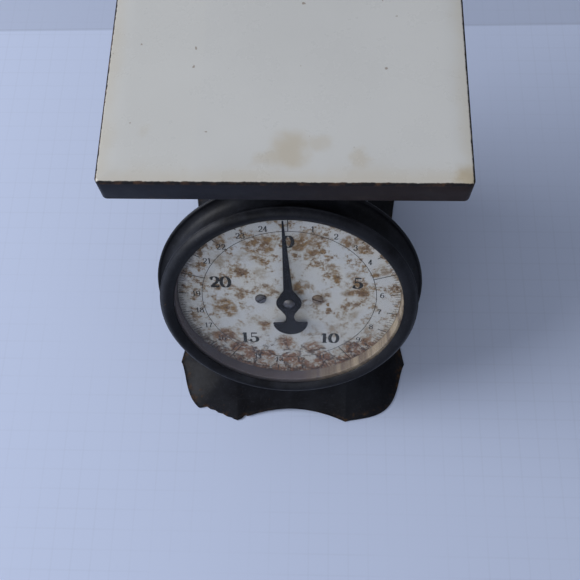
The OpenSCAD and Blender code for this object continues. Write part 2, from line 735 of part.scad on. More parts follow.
module arm_screws()
    color(steel) arm_screw_places() translate([0, 0, yoke_z + yoke_t + arm_t])
        slotted_screw(arm_t + yoke_t, r = 1.25, head = 2.4, height = 1.4);

module rack_screws()
    color(steel) on_dial(rack_z + rack_t) rack_screw_places()
        slotted_screw(rack_t + rack_tab_t, r = 1.25, head = 2, height = 1.2);

hub_r = 3.2;

module arbor()
    color(steel) on_dial(-bracket_back - bracket_t - 4)
        cylinder(bracket_back + bracket_t + 4 + pointer_z + 0.8, r = arbor_r);

module pinion()
    color(brass) on_dial(pinion_z) difference() {
        linear_extrude(pinion_l) {
            circle(pitch_r - dedendum);
            for (k = [0:pinion_teeth - 1]) rotate((k + 0.5) * 360 / pinion_teeth - 90)
                translate([0, pitch_r - dedendum])
                    tooth(1.2 * tooth_pitch / 2 - tooth_play, 0.5 * tooth_pitch / 2 - tooth_play / 2,
                        dedendum + addendum);
        }
        translate([0, 0, -1]) cylinder(pinion_l + 2, r = arbor_r);
    }

// ---- Pointer ----

pointer_t = 0.8;
hand_hub_r = 7.4;
needle_w = 5.6;
needle_tip_w = 1;
needle_root = 9;
neck_w = 5;
neck_root = -10.5;
weight_r = 10.3;
weight_u = -15.9;

// The needle, its hub, the neck and the half-round counterweight below
module hand_outline() {
    circle(hand_hub_r);
    polygon([[-needle_w / 2, needle_root], [needle_w / 2, needle_root], [needle_tip_w / 2, pointer_l],
        [-needle_tip_w / 2, pointer_l]]);
    polygon([[-hand_hub_r * 0.85, hand_hub_r * 0.5], [hand_hub_r * 0.85, hand_hub_r * 0.5],
        [needle_w / 2, needle_root + 1], [-needle_w / 2, needle_root + 1]]);
    polygon([[hand_hub_r * 0.85, -hand_hub_r * 0.5], [-hand_hub_r * 0.85, -hand_hub_r * 0.5],
        [-neck_w / 2, neck_root], [neck_w / 2, neck_root]]);
    translate([-neck_w / 2, weight_u - 1]) square([neck_w, neck_root - weight_u + 2]);
    intersection() {
        translate([0, weight_u]) circle(weight_r);
        translate([-weight_r, weight_u - weight_r]) square([2 * weight_r, weight_r]);
    }
}

module pointer_hand()
    color(black) on_dial(pointer_z) rotate(-pointer_rest) difference() {
        linear_extrude(pointer_t) hand_outline();
        translate([0, 0, -1]) cylinder(5, r = arbor_r);
    }

module pointer_cap()
    color(steel) on_dial(pointer_z + pointer_t) intersection() {
        translate([0, 0, -3.4]) sphere(5);
        cylinder(3, r = hub_r);
    }

base_skirt();
tower_shell();
base_screws();
top_cap();
cap_screws();
back_cover();
cover_screws();
drum_shell();
bezel_ring();
dial_glass();
dial_liner();
dial_plate();
dial_posts();
dial_screws();
arbor_bracket();
front_arbor_bush();
rear_arbor_bush();
mechanism_frame();
frame_screws();
upper_stem_bush();
lower_stem_bush();
spring_hanger();
hanger_pin();
left_spring();
right_spring();
zero_screw();
platform_pan();
platform_spider();
pan_screws();
spider_screws();
stem();
spring_yoke();
yoke_nuts();
rack_arm();
arm_screws();
rack();
rack_screws();
arbor();
pinion();
pointer_hand();
pointer_cap();
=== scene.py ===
"""Looks of the kitchen platform scale: pieces, materials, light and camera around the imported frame."""
import json
import math

import bmesh
import bpy
import numpy as np
from mathutils import Matrix, Vector

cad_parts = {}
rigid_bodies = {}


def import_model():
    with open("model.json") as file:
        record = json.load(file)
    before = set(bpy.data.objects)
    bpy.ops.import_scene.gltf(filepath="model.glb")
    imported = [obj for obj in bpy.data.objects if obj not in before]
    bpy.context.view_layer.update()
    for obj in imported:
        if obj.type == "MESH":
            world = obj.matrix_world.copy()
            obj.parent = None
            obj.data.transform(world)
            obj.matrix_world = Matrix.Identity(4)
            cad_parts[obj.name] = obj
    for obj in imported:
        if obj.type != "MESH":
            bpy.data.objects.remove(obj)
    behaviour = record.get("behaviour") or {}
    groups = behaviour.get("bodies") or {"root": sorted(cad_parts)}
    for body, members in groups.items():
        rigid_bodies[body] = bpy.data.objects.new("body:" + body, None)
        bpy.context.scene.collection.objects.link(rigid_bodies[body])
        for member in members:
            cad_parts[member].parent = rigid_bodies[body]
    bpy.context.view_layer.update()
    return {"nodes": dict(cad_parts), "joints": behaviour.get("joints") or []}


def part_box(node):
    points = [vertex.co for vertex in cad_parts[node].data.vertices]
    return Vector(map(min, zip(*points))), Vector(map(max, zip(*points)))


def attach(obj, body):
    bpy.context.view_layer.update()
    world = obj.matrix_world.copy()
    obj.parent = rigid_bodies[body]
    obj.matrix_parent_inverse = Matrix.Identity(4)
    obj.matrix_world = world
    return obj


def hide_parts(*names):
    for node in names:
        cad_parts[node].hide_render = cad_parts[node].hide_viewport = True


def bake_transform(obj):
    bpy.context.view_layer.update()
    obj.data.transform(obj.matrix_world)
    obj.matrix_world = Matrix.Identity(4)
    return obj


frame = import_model()
nodes = frame["nodes"]
MM = 0.001

# ---------------------------------------------------------------- the dial's own frame

joints = {j["name"]: j for j in frame["joints"]}
DIAL_CENTRE = Vector(joints["pointer_turn"]["pos_m"])
DIAL_NORMAL = -Vector(joints["pointer_turn"]["axis"]).normalized()
DIAL_RIGHT = Vector((1, 0, 0))
DIAL_UP = DIAL_NORMAL.cross(DIAL_RIGHT)


def on_dial(x, y, z=0.0):
    """A place in the shared frame from millimetres across, up and out of the dial's face."""
    return DIAL_CENTRE + (DIAL_RIGHT * x + DIAL_UP * y + DIAL_NORMAL * z) * MM


def dial_span(node):
    """Lowest and highest height of a CAD node above the dial's face, in millimetres."""
    heights = [(v.co - DIAL_CENTRE).dot(DIAL_NORMAL) / MM for v in nodes[node].data.vertices]
    return min(heights), max(heights)


def size_mm(node):
    low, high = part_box(node)
    return (high - low) / MM


def centre_mm(node):
    low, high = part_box(node)
    return (high + low) / 2 / MM


# ---------------------------------------------------------------- mesh helpers


def new_object(name, verts, faces, smooth=True):
    mesh = bpy.data.meshes.new(name)
    mesh.from_pydata([tuple(v) for v in verts], [], faces)
    mesh.update()
    piece = bpy.data.objects.new(name, mesh)
    bpy.context.scene.collection.objects.link(piece)
    tidy_normals(piece)
    mesh.polygons.foreach_set("use_smooth", [smooth] * len(mesh.polygons))
    return piece


def tidy_normals(piece):
    bm = bmesh.new()
    bm.from_mesh(piece.data)
    bmesh.ops.recalc_face_normals(bm, faces=bm.faces)
    bm.to_mesh(piece.data)
    bm.free()


def sharp_by_angle(piece, degrees):
    """Smooth shading that breaks at edges steeper than an angle."""
    mesh = piece.data
    bm = bmesh.new()
    bm.from_mesh(mesh)
    for edge in bm.edges:
        edge.smooth = len(edge.link_faces) == 2 and edge.calc_face_angle(0) < math.radians(degrees)
    for face in bm.faces:
        face.smooth = True
    bm.to_mesh(mesh)
    bm.free()


def bevel(piece, width_mm, segments=2, angle=35):
    mod = piece.modifiers.new("edge", "BEVEL")
    mod.width = width_mm * MM
    mod.segments = segments
    mod.limit_method = "ANGLE"
    mod.angle_limit = math.radians(angle)
    mod.harden_normals = True
    return mod


def paint(piece, material):
    piece.data.materials.clear()
    piece.data.materials.append(material)


def place(piece, body, material, slot, *replaced):
    paint(piece, material)
    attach(piece, body)
    if replaced:
        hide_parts(*replaced)
    return piece


def arc(cx, cy, r, start, end, count):
    """Points along an arc, angles in degrees."""
    steps = [start + (end - start) * i / (count - 1) for i in range(count)]
    return [(cx + r * math.cos(math.radians(a)), cy + r * math.sin(math.radians(a))) for a in steps]


def around(count):
    """Points evenly spaced on a circle of radius 1."""
    return [(math.cos(2 * math.pi * k / count), math.sin(2 * math.pi * k / count)) for k in range(count)]


def curve(start, control, end, count=8):
    """Points along a curve from start to end that heads for the control point, without the start."""
    steps = [i / count for i in range(1, count + 1)]
    return [tuple((1 - s) ** 2 * a + 2 * s * (1 - s) * c + s * s * b for a, c, b in zip(start, control, end))
            for s in steps]


def quads(rings, n, wrap=False):
    """Faces between neighbouring rings of n points each; wrap also joins the last ring to the first."""
    return [(k * n + i, k * n + (i + 1) % n, (k + 1) % rings * n + (i + 1) % n, (k + 1) % rings * n + i)
            for k in range(rings if wrap else rings - 1) for i in range(n)]


def lathe(name, profile, turns=192):
    """Turns a closed section of (radius, height) points round the dial's axis."""
    verts = []
    for x, y in around(turns):
        verts += [on_dial(r * x, r * y, z) for r, z in profile]
    piece = new_object(name, verts, quads(turns, len(profile), wrap=True))
    sharp_by_angle(piece, 40)
    return piece


def extrude_outline(name, outline, low, high, to_world=on_dial):
    """A flat plate from an outline of (x, y) points, between two heights."""
    count = len(outline)
    verts = [to_world(x, y, low) for x, y in outline] + [to_world(x, y, high) for x, y in outline]
    faces = [tuple(range(count - 1, -1, -1)), tuple(range(count, 2 * count))]
    faces += [(i, (i + 1) % count, count + (i + 1) % count, count + i) for i in range(count)]
    return new_object(name, verts, faces, smooth=False)


def dial_uv(piece, scale=0.01):
    """A UV map that holds the place on the dial's face, in units of 100 mm."""
    layer = piece.data.uv_layers.new(name="face")
    for loop in piece.data.loops:
        offset = (piece.data.vertices[loop.vertex_index].co - DIAL_CENTRE) / MM
        layer.data[loop.index].uv = (offset.dot(DIAL_RIGHT) * scale, offset.dot(DIAL_UP) * scale)


# ---------------------------------------------------------------- material helpers


class Graph:
    """A material's node graph, with short calls for the nodes that the materials use."""

    def __init__(self, name, **shader):
        self.mat = bpy.data.materials.new(name)
        self.mat.use_nodes = True
        self.tree = self.mat.node_tree
        self.shader = self.tree.nodes["Principled BSDF"]
        for key, value in shader.items():
            self.shader.inputs[key.replace("_", " ")].default_value = value
        self.place = self.add("ShaderNodeTexCoord").outputs["Object"]

    def add(self, kind, **settings):
        node = self.tree.nodes.new(kind)
        for key, value in settings.items():
            setattr(node, key, value)
        return node

    def link(self, source, target):
        if isinstance(source, (int, float)):
            target.default_value = source
        elif isinstance(source, (tuple, list)):
            target.default_value = (*source, 1.0)[: len(target.default_value)]
        else:
            self.tree.links.new(source, target)

    def to(self, name, source):
        self.link(source, self.shader.inputs[name])

    def uv(self, name):
        return self.add("ShaderNodeUVMap", uv_map=name).outputs["UV"]

    def noise(self, scale, detail=4.0, rough=0.55, where=None, distort=0.0, colour=False):
        node = self.add("ShaderNodeTexNoise")
        node.inputs["Scale"].default_value = scale
        node.inputs["Detail"].default_value = detail
        node.inputs["Roughness"].default_value = rough
        node.inputs["Distortion"].default_value = distort
        self.link(where or self.place, node.inputs["Vector"])
        return node.outputs["Color" if colour else "Fac"]

    def stretched(self, sx, sy, sz, where=None):
        node = self.add("ShaderNodeMapping")
        node.inputs["Scale"].default_value = (sx, sy, sz)
        self.link(where or self.place, node.inputs["Vector"])
        return node.outputs["Vector"]

    def band(self, value, low, high, out_low=0.0, out_high=1.0):
        """A smooth step of a value from low to high."""
        node = self.add("ShaderNodeMapRange", interpolation_type="SMOOTHSTEP")
        self.link(value, node.inputs["Value"])
        node.inputs["From Min"].default_value = low
        node.inputs["From Max"].default_value = high
        node.inputs["To Min"].default_value = out_low
        node.inputs["To Max"].default_value = out_high
        return node.outputs["Result"]

    def math(self, operation, a, b=0.0, clamp=False):
        node = self.add("ShaderNodeMath", operation=operation, use_clamp=clamp)
        self.link(a, node.inputs[0])
        self.link(b, node.inputs[1])
        return node.outputs["Value"]

    def split(self, vector=None):
        node = self.add("ShaderNodeSeparateXYZ")
        self.link(vector or self.place, node.inputs["Vector"])
        return node.outputs["X"], node.outputs["Y"], node.outputs["Z"]

    def vector(self, operation, a, b=(0, 0, 0)):
        node = self.add("ShaderNodeVectorMath", operation=operation)
        self.link(a, node.inputs[0])
        if isinstance(b, (tuple, list)):
            node.inputs[1].default_value = b
        else:
            self.link(b, node.inputs[1])
        return node.outputs["Value" if operation in ("LENGTH", "DISTANCE") else "Vector"]

    def mix(self, amount, a, b):
        node = self.add("ShaderNodeMix", data_type="RGBA")
        self.link(amount, node.inputs["Factor"])
        self.link(a, node.inputs["A"])
        self.link(b, node.inputs["B"])
        return node.outputs["Result"]

    def bump(self, height, distance_mm, strength=1.0):
        node = self.add("ShaderNodeBump")
        node.inputs["Strength"].default_value = strength
        node.inputs["Distance"].default_value = distance_mm * MM
        self.link(height, node.inputs["Height"])
        self.to("Normal", node.outputs["Normal"])


def up_facing(g):
    """How far the surface faces the sky, from 0 to 1."""
    normal = g.add("ShaderNodeNewGeometry").outputs["Normal"]
    return g.band(g.split(normal)[2], 0.2, 1.0)


# ---------------------------------------------------------------- materials

JAPAN = (0.005, 0.005, 0.007)
JAPAN_GREY = (0.012, 0.013, 0.017)
DUST = (0.050, 0.055, 0.072)
RUST = (0.045, 0.026, 0.016)
RUST_BRIGHT = (0.10, 0.055, 0.026)


def black_japan(name, rust=0.3, dust=0.5, rim_height=None, shine=0.13):
    """Old baked black paint: greyed, dusty on top, rubbed brown where the steel shows through."""
    g = Graph(name, Roughness=0.42, Specular_IOR_Level=shine)
    broad = g.noise(26, 5, 0.6)
    fine = g.noise(420, 6, 0.7)
    grain = g.noise(750, 4, 0.8)
    scratch = g.noise(90, 6, 0.75, where=g.stretched(1, 1, 6))
    colour = g.mix(g.band(broad, 0.35, 0.7), JAPAN, JAPAN_GREY)
    colour = g.mix(g.math("MULTIPLY", g.band(scratch, 0.58, 0.72), 0.2), colour, DUST)
    colour = g.mix(g.math("MULTIPLY", g.band(grain, 0.56, 0.68), 0.3), colour, DUST)
    settled = g.math("MULTIPLY", up_facing(g), g.band(g.noise(70, 6, 0.7), 0.3, 0.75))
    colour = g.mix(g.math("MULTIPLY", settled, dust), colour, DUST)
    spots = g.band(g.noise(160, 8, 0.75), 0.66 - 0.12 * rust, 0.74 - 0.08 * rust)
    if rim_height:
        height = g.split()[2]
        worn = g.math("ADD", g.band(height, rim_height * MM, 0.0), g.math("MULTIPLY", broad, 0.5))
        near = g.math("MULTIPLY", g.band(worn, 0.75, 1.3), g.band(g.noise(170, 8, 0.75), 0.48, 0.64))
        spots = g.math("MAXIMUM", spots, near)
    rusty = g.mix(g.band(g.noise(300, 6, 0.7), 0.4, 0.65), RUST, RUST_BRIGHT)
    colour = g.mix(g.math("MULTIPLY", spots, min(1.0, 0.5 + rust)), colour, rusty)
    g.to("Base Color", colour)
    rough = g.math("ADD", g.band(fine, 0.3, 0.8, 0.34, 0.5), g.math("MULTIPLY", spots, 0.3))
    g.to("Roughness", rough)
    g.bump(g.math("ADD", g.math("MULTIPLY", fine, 0.8), g.math("MULTIPLY", spots, 0.6)), 0.13, 0.8)
    return g.mat


def steel(name, colour=(0.30, 0.29, 0.28), rust=0.3, brushed=(1, 1, 1), metallic=0.9):
    g = Graph(name, Metallic=metallic, Roughness=0.4)
    grain = g.noise(500, 5, 0.6, where=g.stretched(*brushed))
    spots = g.band(g.noise(140, 8, 0.75), 0.66 - 0.2 * rust, 0.78 - 0.15 * rust)
    shade = g.mix(g.band(grain, 0.3, 0.7), tuple(c * 0.75 for c in colour), colour)
    g.to("Base Color", g.mix(g.math("MULTIPLY", spots, 0.8), shade, RUST))
    g.to("Metallic", g.math("SUBTRACT", metallic, g.math("MULTIPLY", spots, metallic * 0.8)))
    g.to("Roughness", g.math("ADD", g.band(grain, 0.3, 0.7, 0.32, 0.48), g.math("MULTIPLY", spots, 0.35)))
    g.bump(g.math("ADD", grain, spots), 0.03, 0.5)
    return g.mat


def old_brass(name):
    g = Graph(name, Metallic=1.0, Roughness=0.35)
    tarnish = g.band(g.noise(110, 7, 0.7), 0.38, 0.66)
    g.to("Base Color", g.mix(tarnish, (0.58, 0.41, 0.16), (0.22, 0.14, 0.06)))
    g.to("Roughness", g.math("ADD", g.math("MULTIPLY", tarnish, 0.25), 0.28))
    g.bump(g.noise(600, 4), 0.02, 0.4)
    return g.mat


def enamel(name, low, high):
    """White enamel with a cream border, a few stains, specks and a chipped dark edge."""
    g = Graph(name, Roughness=0.3, Coat_Weight=0.25, Coat_Roughness=0.15)
    x, y, z = g.split()
    warp = g.noise(45, 6, 0.65)
    ragged = g.noise(330, 6, 0.7)
    edge_x = g.math("SUBTRACT", high.x, g.math("ABSOLUTE", x))
    mid_y = (low.y + high.y) / 2
    edge_y = g.math("SUBTRACT", high.y - mid_y, g.math("ABSOLUTE", g.math("SUBTRACT", y, mid_y)))
    edge = g.math("MINIMUM", edge_x, edge_y)
    cloud = g.noise(11, 4, 0.5)
    colour = g.mix(g.band(cloud, 0.35, 0.7), (0.59, 0.595, 0.595), (0.645, 0.65, 0.65))
    wander = g.math("ADD", x, g.math("MULTIPLY", warp, 0.006))
    colour = g.mix(g.band(wander, -0.039, -0.037, 0.0, 0.35), g.mix(0.5, colour, (0.66, 0.66, 0.64)), colour)
    border = g.math("ADD", edge, g.math("MULTIPLY", warp, 0.012))
    colour = g.mix(g.band(border, 0.016, 0.006, 0.0, 0.4), colour, (0.58, 0.52, 0.41))
    near_front = g.math("ADD", g.math("SUBTRACT", y, low.y), g.math("MULTIPLY", warp, 0.02))
    colour = g.mix(g.band(near_front, 0.026, 0.010, 0.0, 0.2), colour, (0.56, 0.50, 0.41))
    # Stains: place on the plate from its front left corner, radius, strength, in metres
    stains = [(0.089, 0.017, 0.014, 0.55), (0.078, 0.014, 0.007, 0.3), (0.122, 0.015, 0.007, 0.35),
              (0.172, 0.003, 0.010, 0.8), (0.103, 0.022, 0.007, 0.3), (0.020, 0.030, 0.006, 0.15)]
    wobble = g.vector("SCALE", g.vector("SUBTRACT", g.noise(60, 5, 0.6, colour=True), (0.5, 0.5, 0.5)))
    wobble.node.inputs["Scale"].default_value = 0.018
    where = g.vector("ADD", g.place, wobble)
    for sx, sy, radius, strength in stains:
        away = g.vector("DISTANCE", where, (low.x + sx, low.y + sy, high.z))
        colour = g.mix(g.band(away, radius, radius * 0.25, 0.0, strength), colour, (0.50, 0.42, 0.29))
    specks = g.band(g.noise(240, 3, 0.4), 0.765, 0.79)
    colour = g.mix(g.math("MULTIPLY", specks, 0.65), colour, (0.2, 0.13, 0.08))
    chip = g.math("ADD", edge, g.math("MULTIPLY", g.math("SUBTRACT", ragged, 0.5), 0.0014))
    chipped = g.band(chip, 0.0012, 0.0008)
    below = g.band(g.math("ADD", z, g.math("MULTIPLY", ragged, 0.0012)), high.z + 0.0001, high.z - 0.0005)
    bare = g.math("MAXIMUM", chipped, below)
    dark = g.mix(g.band(g.noise(150, 6, 0.7), 0.45, 0.7), (0.018, 0.017, 0.02), (0.10, 0.055, 0.035))
    side = g.band(g.math("ADD", x, g.math("MULTIPLY", warp, 0.03)), low.x + 0.04, high.x + 0.02)
    lip = g.mix(side, (0.016, 0.018, 0.027), (0.024, 0.014, 0.011))
    lip = g.mix(g.band(g.noise(200, 7, 0.75), 0.55, 0.75), lip, (0.05, 0.032, 0.024))
    dark = g.mix(g.band(z, high.z - 0.0012, high.z - 0.002), dark, lip)
    g.to("Base Color", g.mix(bare, colour, dark))
    g.to("Roughness", g.math("ADD", g.band(warp, 0.3, 0.7, 0.24, 0.36), g.math("MULTIPLY", bare, 0.2)))
    g.to("Specular IOR Level", g.band(bare, 0.0, 1.0, 0.5, 0.08))
    g.to("Coat Weight", g.band(bare, 0.0, 1.0, 0.25, 0.0))
    height = g.math("SUBTRACT", g.math("MULTIPLY", g.noise(35, 2), 0.5), bare)
    g.bump(height, 0.12, 0.35)
    return g.mat


# Rust marks on the dial: place across and up from the centre, radius and strength, in millimetres
DIAL_MARKS = [
    (-13, 44, 6, 0.8), (-12, 39, 4, 0.7), (-38, 43, 4, 0.7), (-24, 45, 4, 0.5), (5, 42, 6, 1.0),
    (14, 45, 7, 0.6), (14, 37, 4, 0.8), (10, 33, 3, 0.6), (-22, 36, 6, 0.4), (-15, 32, 5, 0.4),
    (-38, 31, 7, 0.4), (-28, 31, 4, 0.4), (34, 44, 5, 0.7), (40, 41, 4, 0.6), (53, 23, 5, 0.5),
    (20, 31, 2, 0.6), (24, 25, 4, 0.6), (26, 20, 3, 0.5), (27, 15, 3, 1.0), (37, 19, 4, 0.6),
    (40, 12, 5, 0.8), (43, 5, 5, 1.0), (36, 5, 4, 0.7), (22, 5, 3, 0.6), (23, -4, 2, 1.0),
    (24, -10, 2, 1.0), (6, 9, 5, 0.8), (-16, 20, 6, 0.35), (-33, 9, 3, 0.7), (-29, 7, 3, 0.6),
    (-47, 17, 5, 0.4), (-39, -5, 7, 0.8), (-35, -10, 5, 0.8), (-21, -18, 4, 0.4), (-15, -23, 5, 0.7),
    (27, -26, 5, 0.4), (37, -13, 5, 0.4), (-40, -32, 7, 0.9), (-32, -42, 6, 0.9), (-24, -47, 6, 0.9),
    (-14, -50, 6, 1.0), (-2, -38, 7, 0.7), (0, -53, 6, 1.0), (20, -52, 6, 1.0), (14, -42, 6, 0.7),
    (37, -42, 6, 0.9), (47, -36, 6, 0.8), (50, -44, 5, 0.8), (-50, -38, 4, 0.6), (8, -58, 5, 0.9),
    (-20, -58, 5, 0.7), (28, -56, 4, 0.7), (48, -27, 4, 0.5), (-53, 26, 4, 0.4), (-55, -22, 4, 0.4)]


def dial_paint(name, radius):
    """White dial paint with ochre rust, which is redder and heavier along the bottom rim."""
    g = Graph(name, Roughness=0.55)
    face = g.uv("face")
    fine = g.noise(30, 7, 0.7, where=face)
    cloud = g.noise(4, 4, 0.5, where=face)
    colour = g.mix(g.band(cloud, 0.35, 0.65), (0.62, 0.63, 0.63), (0.64, 0.63, 0.59))
    shift = g.vector("SUBTRACT", g.noise(11, 6, 0.65, where=face, colour=True), (0.5, 0.5, 0.5))
    bend = g.vector("SCALE", shift)
    bend.node.inputs["Scale"].default_value = 0.14
    where = g.vector("ADD", face, bend)
    x, y, _ = g.split(face)
    flat = g.vector("MULTIPLY", where, (1, 1, 0))
    rust = None
    for mx, my, size, strength in DIAL_MARKS:
        away = g.vector("DISTANCE", flat, (mx * 0.01, my * 0.01, 0))
        mark = g.band(away, size * 0.015, size * 0.003, 0.0, strength)
        rust = g.math("MAXIMUM", rust, mark) if rust else mark
    out = g.vector("LENGTH", g.vector("MULTIPLY", face, (1, 1, 0)))
    low_side = g.band(y, -0.1, -0.5)
    ragged = g.math("ADD", out, g.math("MULTIPLY", g.math("SUBTRACT", fine, 0.5), 0.16))
    rim = g.math("MULTIPLY", g.band(ragged, radius * 0.0080, radius * 0.01), low_side)
    rust = g.math("MAXIMUM", rust, g.math("MULTIPLY", rim, 0.8))
    # Loose mottling: everywhere, strongest in the upper half
    blotch = g.noise(8.5, 9, 0.75, where=face)
    upper = g.band(g.math("ADD", y, g.math("MULTIPLY", g.math("ABSOLUTE", x), 0.5)), -0.15, 0.4, 0.45, 1.0)
    stray = g.math("MULTIPLY", g.band(blotch, 0.46, 0.62), upper)
    rust = g.math("MAXIMUM", rust, stray)
    broken = g.math("MULTIPLY", rust, g.band(fine, 0.30, 0.60, 0.15, 1.0))
    grit = g.noise(55, 6, 0.8, where=face)
    patch = g.band(g.noise(16, 5, 0.6, where=face), 0.4, 0.62)
    tone = g.mix(patch, (0.30, 0.175, 0.065), (0.17, 0.088, 0.040))
    tone = g.mix(g.math("MULTIPLY", low_side, 0.7), tone, (0.27, 0.105, 0.055))
    core = g.math("MULTIPLY", g.band(grit, 0.48, 0.62, 0.0, 0.85), g.band(broken, 0.35, 0.8))
    tone = g.mix(core, tone, (0.035, 0.024, 0.022))
    haze = g.mix(0.35, (0.31, 0.225, 0.115), (0.50, 0.47, 0.41))
    colour = g.mix(g.band(broken, 0.02, 0.40, 0.0, 0.7), colour, haze)
    colour = g.mix(g.band(broken, 0.2, 0.7, 0.0, 0.92), colour, tone)
    # Round blisters with a dark outline along the bottom
    cell = g.add("ShaderNodeTexVoronoi", feature="DISTANCE_TO_EDGE")
    cell.inputs["Scale"].default_value = 8.5
    g.link(where, cell.inputs["Vector"])
    outline = g.math("MULTIPLY", g.band(cell.outputs["Distance"], 0.07, 0.02), g.band(y, -0.22, -0.42))
    outline = g.math("MULTIPLY", outline, g.band(broken, 0.05, 0.3))
    colour = g.mix(g.math("MULTIPLY", outline, 0.75), colour, (0.04, 0.028, 0.028))
    # Darker band along the left rim: painted shade cast by the bezel, together with some grime
    left_rim_shade_and_grime = g.math("MULTIPLY", g.band(ragged, radius * 0.0088, radius * 0.01), g.band(x, -0.25, -0.5))
    colour = g.mix(g.math("MULTIPLY", left_rim_shade_and_grime, 0.7), colour, (0.06, 0.05, 0.05))
    specks = g.band(grit, 0.60, 0.68)
    colour = g.mix(g.math("MULTIPLY", specks, 0.6), colour, (0.12, 0.09, 0.075))
    g.to("Base Color", colour)
    g.to("Roughness", g.band(broken, 0.1, 0.8, 0.5, 0.85))
    g.bump(g.math("ADD", g.math("MULTIPLY", broken, 0.8), g.math("MULTIPLY", fine, 0.2)), 0.15, 0.5)
    return g.mat


def liner_paint(name):
    """Cream paint gone brown, and dark grey-mauve on the left, which is painted shade."""
    g = Graph(name, Roughness=0.6)
    face = g.uv("face")
    x, _, _ = g.split(face)
    patch = g.noise(14, 6, 0.65, where=face)
    colour = g.mix(g.band(patch, 0.4, 0.62), (0.42, 0.345, 0.25), (0.20, 0.15, 0.11))
    # Painted shade: the left part of the liner is darkened to grey-mauve
    left = g.band(g.math("ADD", x, g.math("MULTIPLY", g.math("SUBTRACT", patch, 0.5), 0.5)), 0.32, 0.05)
    colour = g.mix(g.math("MULTIPLY", left, 0.95), colour, (0.12, 0.10, 0.115))
    dirt = g.band(g.noise(60, 6, 0.7, where=face), 0.6, 0.7)
    g.to("Base Color", g.mix(g.math("MULTIPLY", dirt, 0.7), colour, (0.07, 0.045, 0.035)))
    g.bump(patch, 0.1, 0.4)
    return g.mat


def ink(name, shade=0.012):
    g = Graph(name, Roughness=0.6)
    worn = g.band(g.noise(900, 5, 0.7), 0.52, 0.72)
    g.to("Base Color", g.mix(g.math("MULTIPLY", worn, 0.2), (shade, shade, shade * 1.05), (0.30, 0.27, 0.24)))
    return g.mat


def dusty_glass(name):
    """Old flat glass under a veil of dust, thicker towards the bottom."""
    g = Graph(name, Roughness=0.12, Base_Color=(0.42, 0.46, 0.56, 1), Specular_IOR_Level=0.3)
    face = g.uv("face")
    low = g.band(g.split(face)[1], 0.25, -0.5, 0.015, 0.055)
    smear = g.band(g.noise(5, 6, 0.65, where=face), 0.3, 0.75, 0.7, 1.25)
    g.to("Alpha", g.math("MULTIPLY", low, smear))
    g.to("Roughness", g.band(g.noise(9, 5, 0.6, where=face), 0.3, 0.7, 0.08, 0.3))
    g.mat.surface_render_method = "BLENDED"
    return g.mat


# ---------------------------------------------------------------- platform


def platform_pan(material):
    """The enamelled plate: crowned top edge, turned-down lip and rounded corners, hollow below."""
    low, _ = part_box("platform_pan")
    width, depth, lip = size_mm("platform_pan")
    mid = centre_mm("platform_pan")
    sheet = 1.2
    corner = 3.0
    least_corner = 0.6
    hem_r = 0.35
    flat = 12
    middle = 30

    def outline(inset, count=9):
        r = max(corner - inset, least_corner)
        hx, hy = width / 2 - inset - r, depth / 2 - inset - r
        places = [(hx, hy, 0), (-hx, hy, 90), (-hx, -hy, 180), (hx, -hy, 270)]
        return [p for cx, cy, a in places for p in arc(cx, cy, r, a, a + 90, count)]

    edge = 1.5
    rings = [(outline(edge * (1 - math.cos(math.radians(a)))), lip - edge * (1 - math.sin(math.radians(a))))
             for a in range(0, 91, 15)]
    hem = [(outline(0.0), 0.5), (outline(hem_r), 0.0), (outline(sheet - hem_r), 0.0), (outline(sheet), 0.5)]
    inside = [(outline(sheet), lip - sheet - 0.8), (outline(sheet + 0.8), lip - sheet)]
    levels = [(outline(middle), lip), (outline(flat), lip)] + rings[::-1] + hem + inside
    levels.append((outline(middle), lip - sheet))
    verts = []
    for points, z in levels:
        verts += [Vector((mid.x + px, mid.y + py, low.z / MM + z)) * MM for px, py in points]
    n = len(levels[0][0])
    faces = [tuple(range(n))] + quads(len(levels), n)
    last = (len(levels) - 1) * n
    faces.append(tuple(range(last + n - 1, last - 1, -1)))
    piece = new_object("platform_plate", verts, faces)
    sharp_by_angle(piece, 50)
    return place(piece, "platform", material, "white_enamel", "platform_pan")


# ---------------------------------------------------------------- drum, bezel, glass, liner, dial


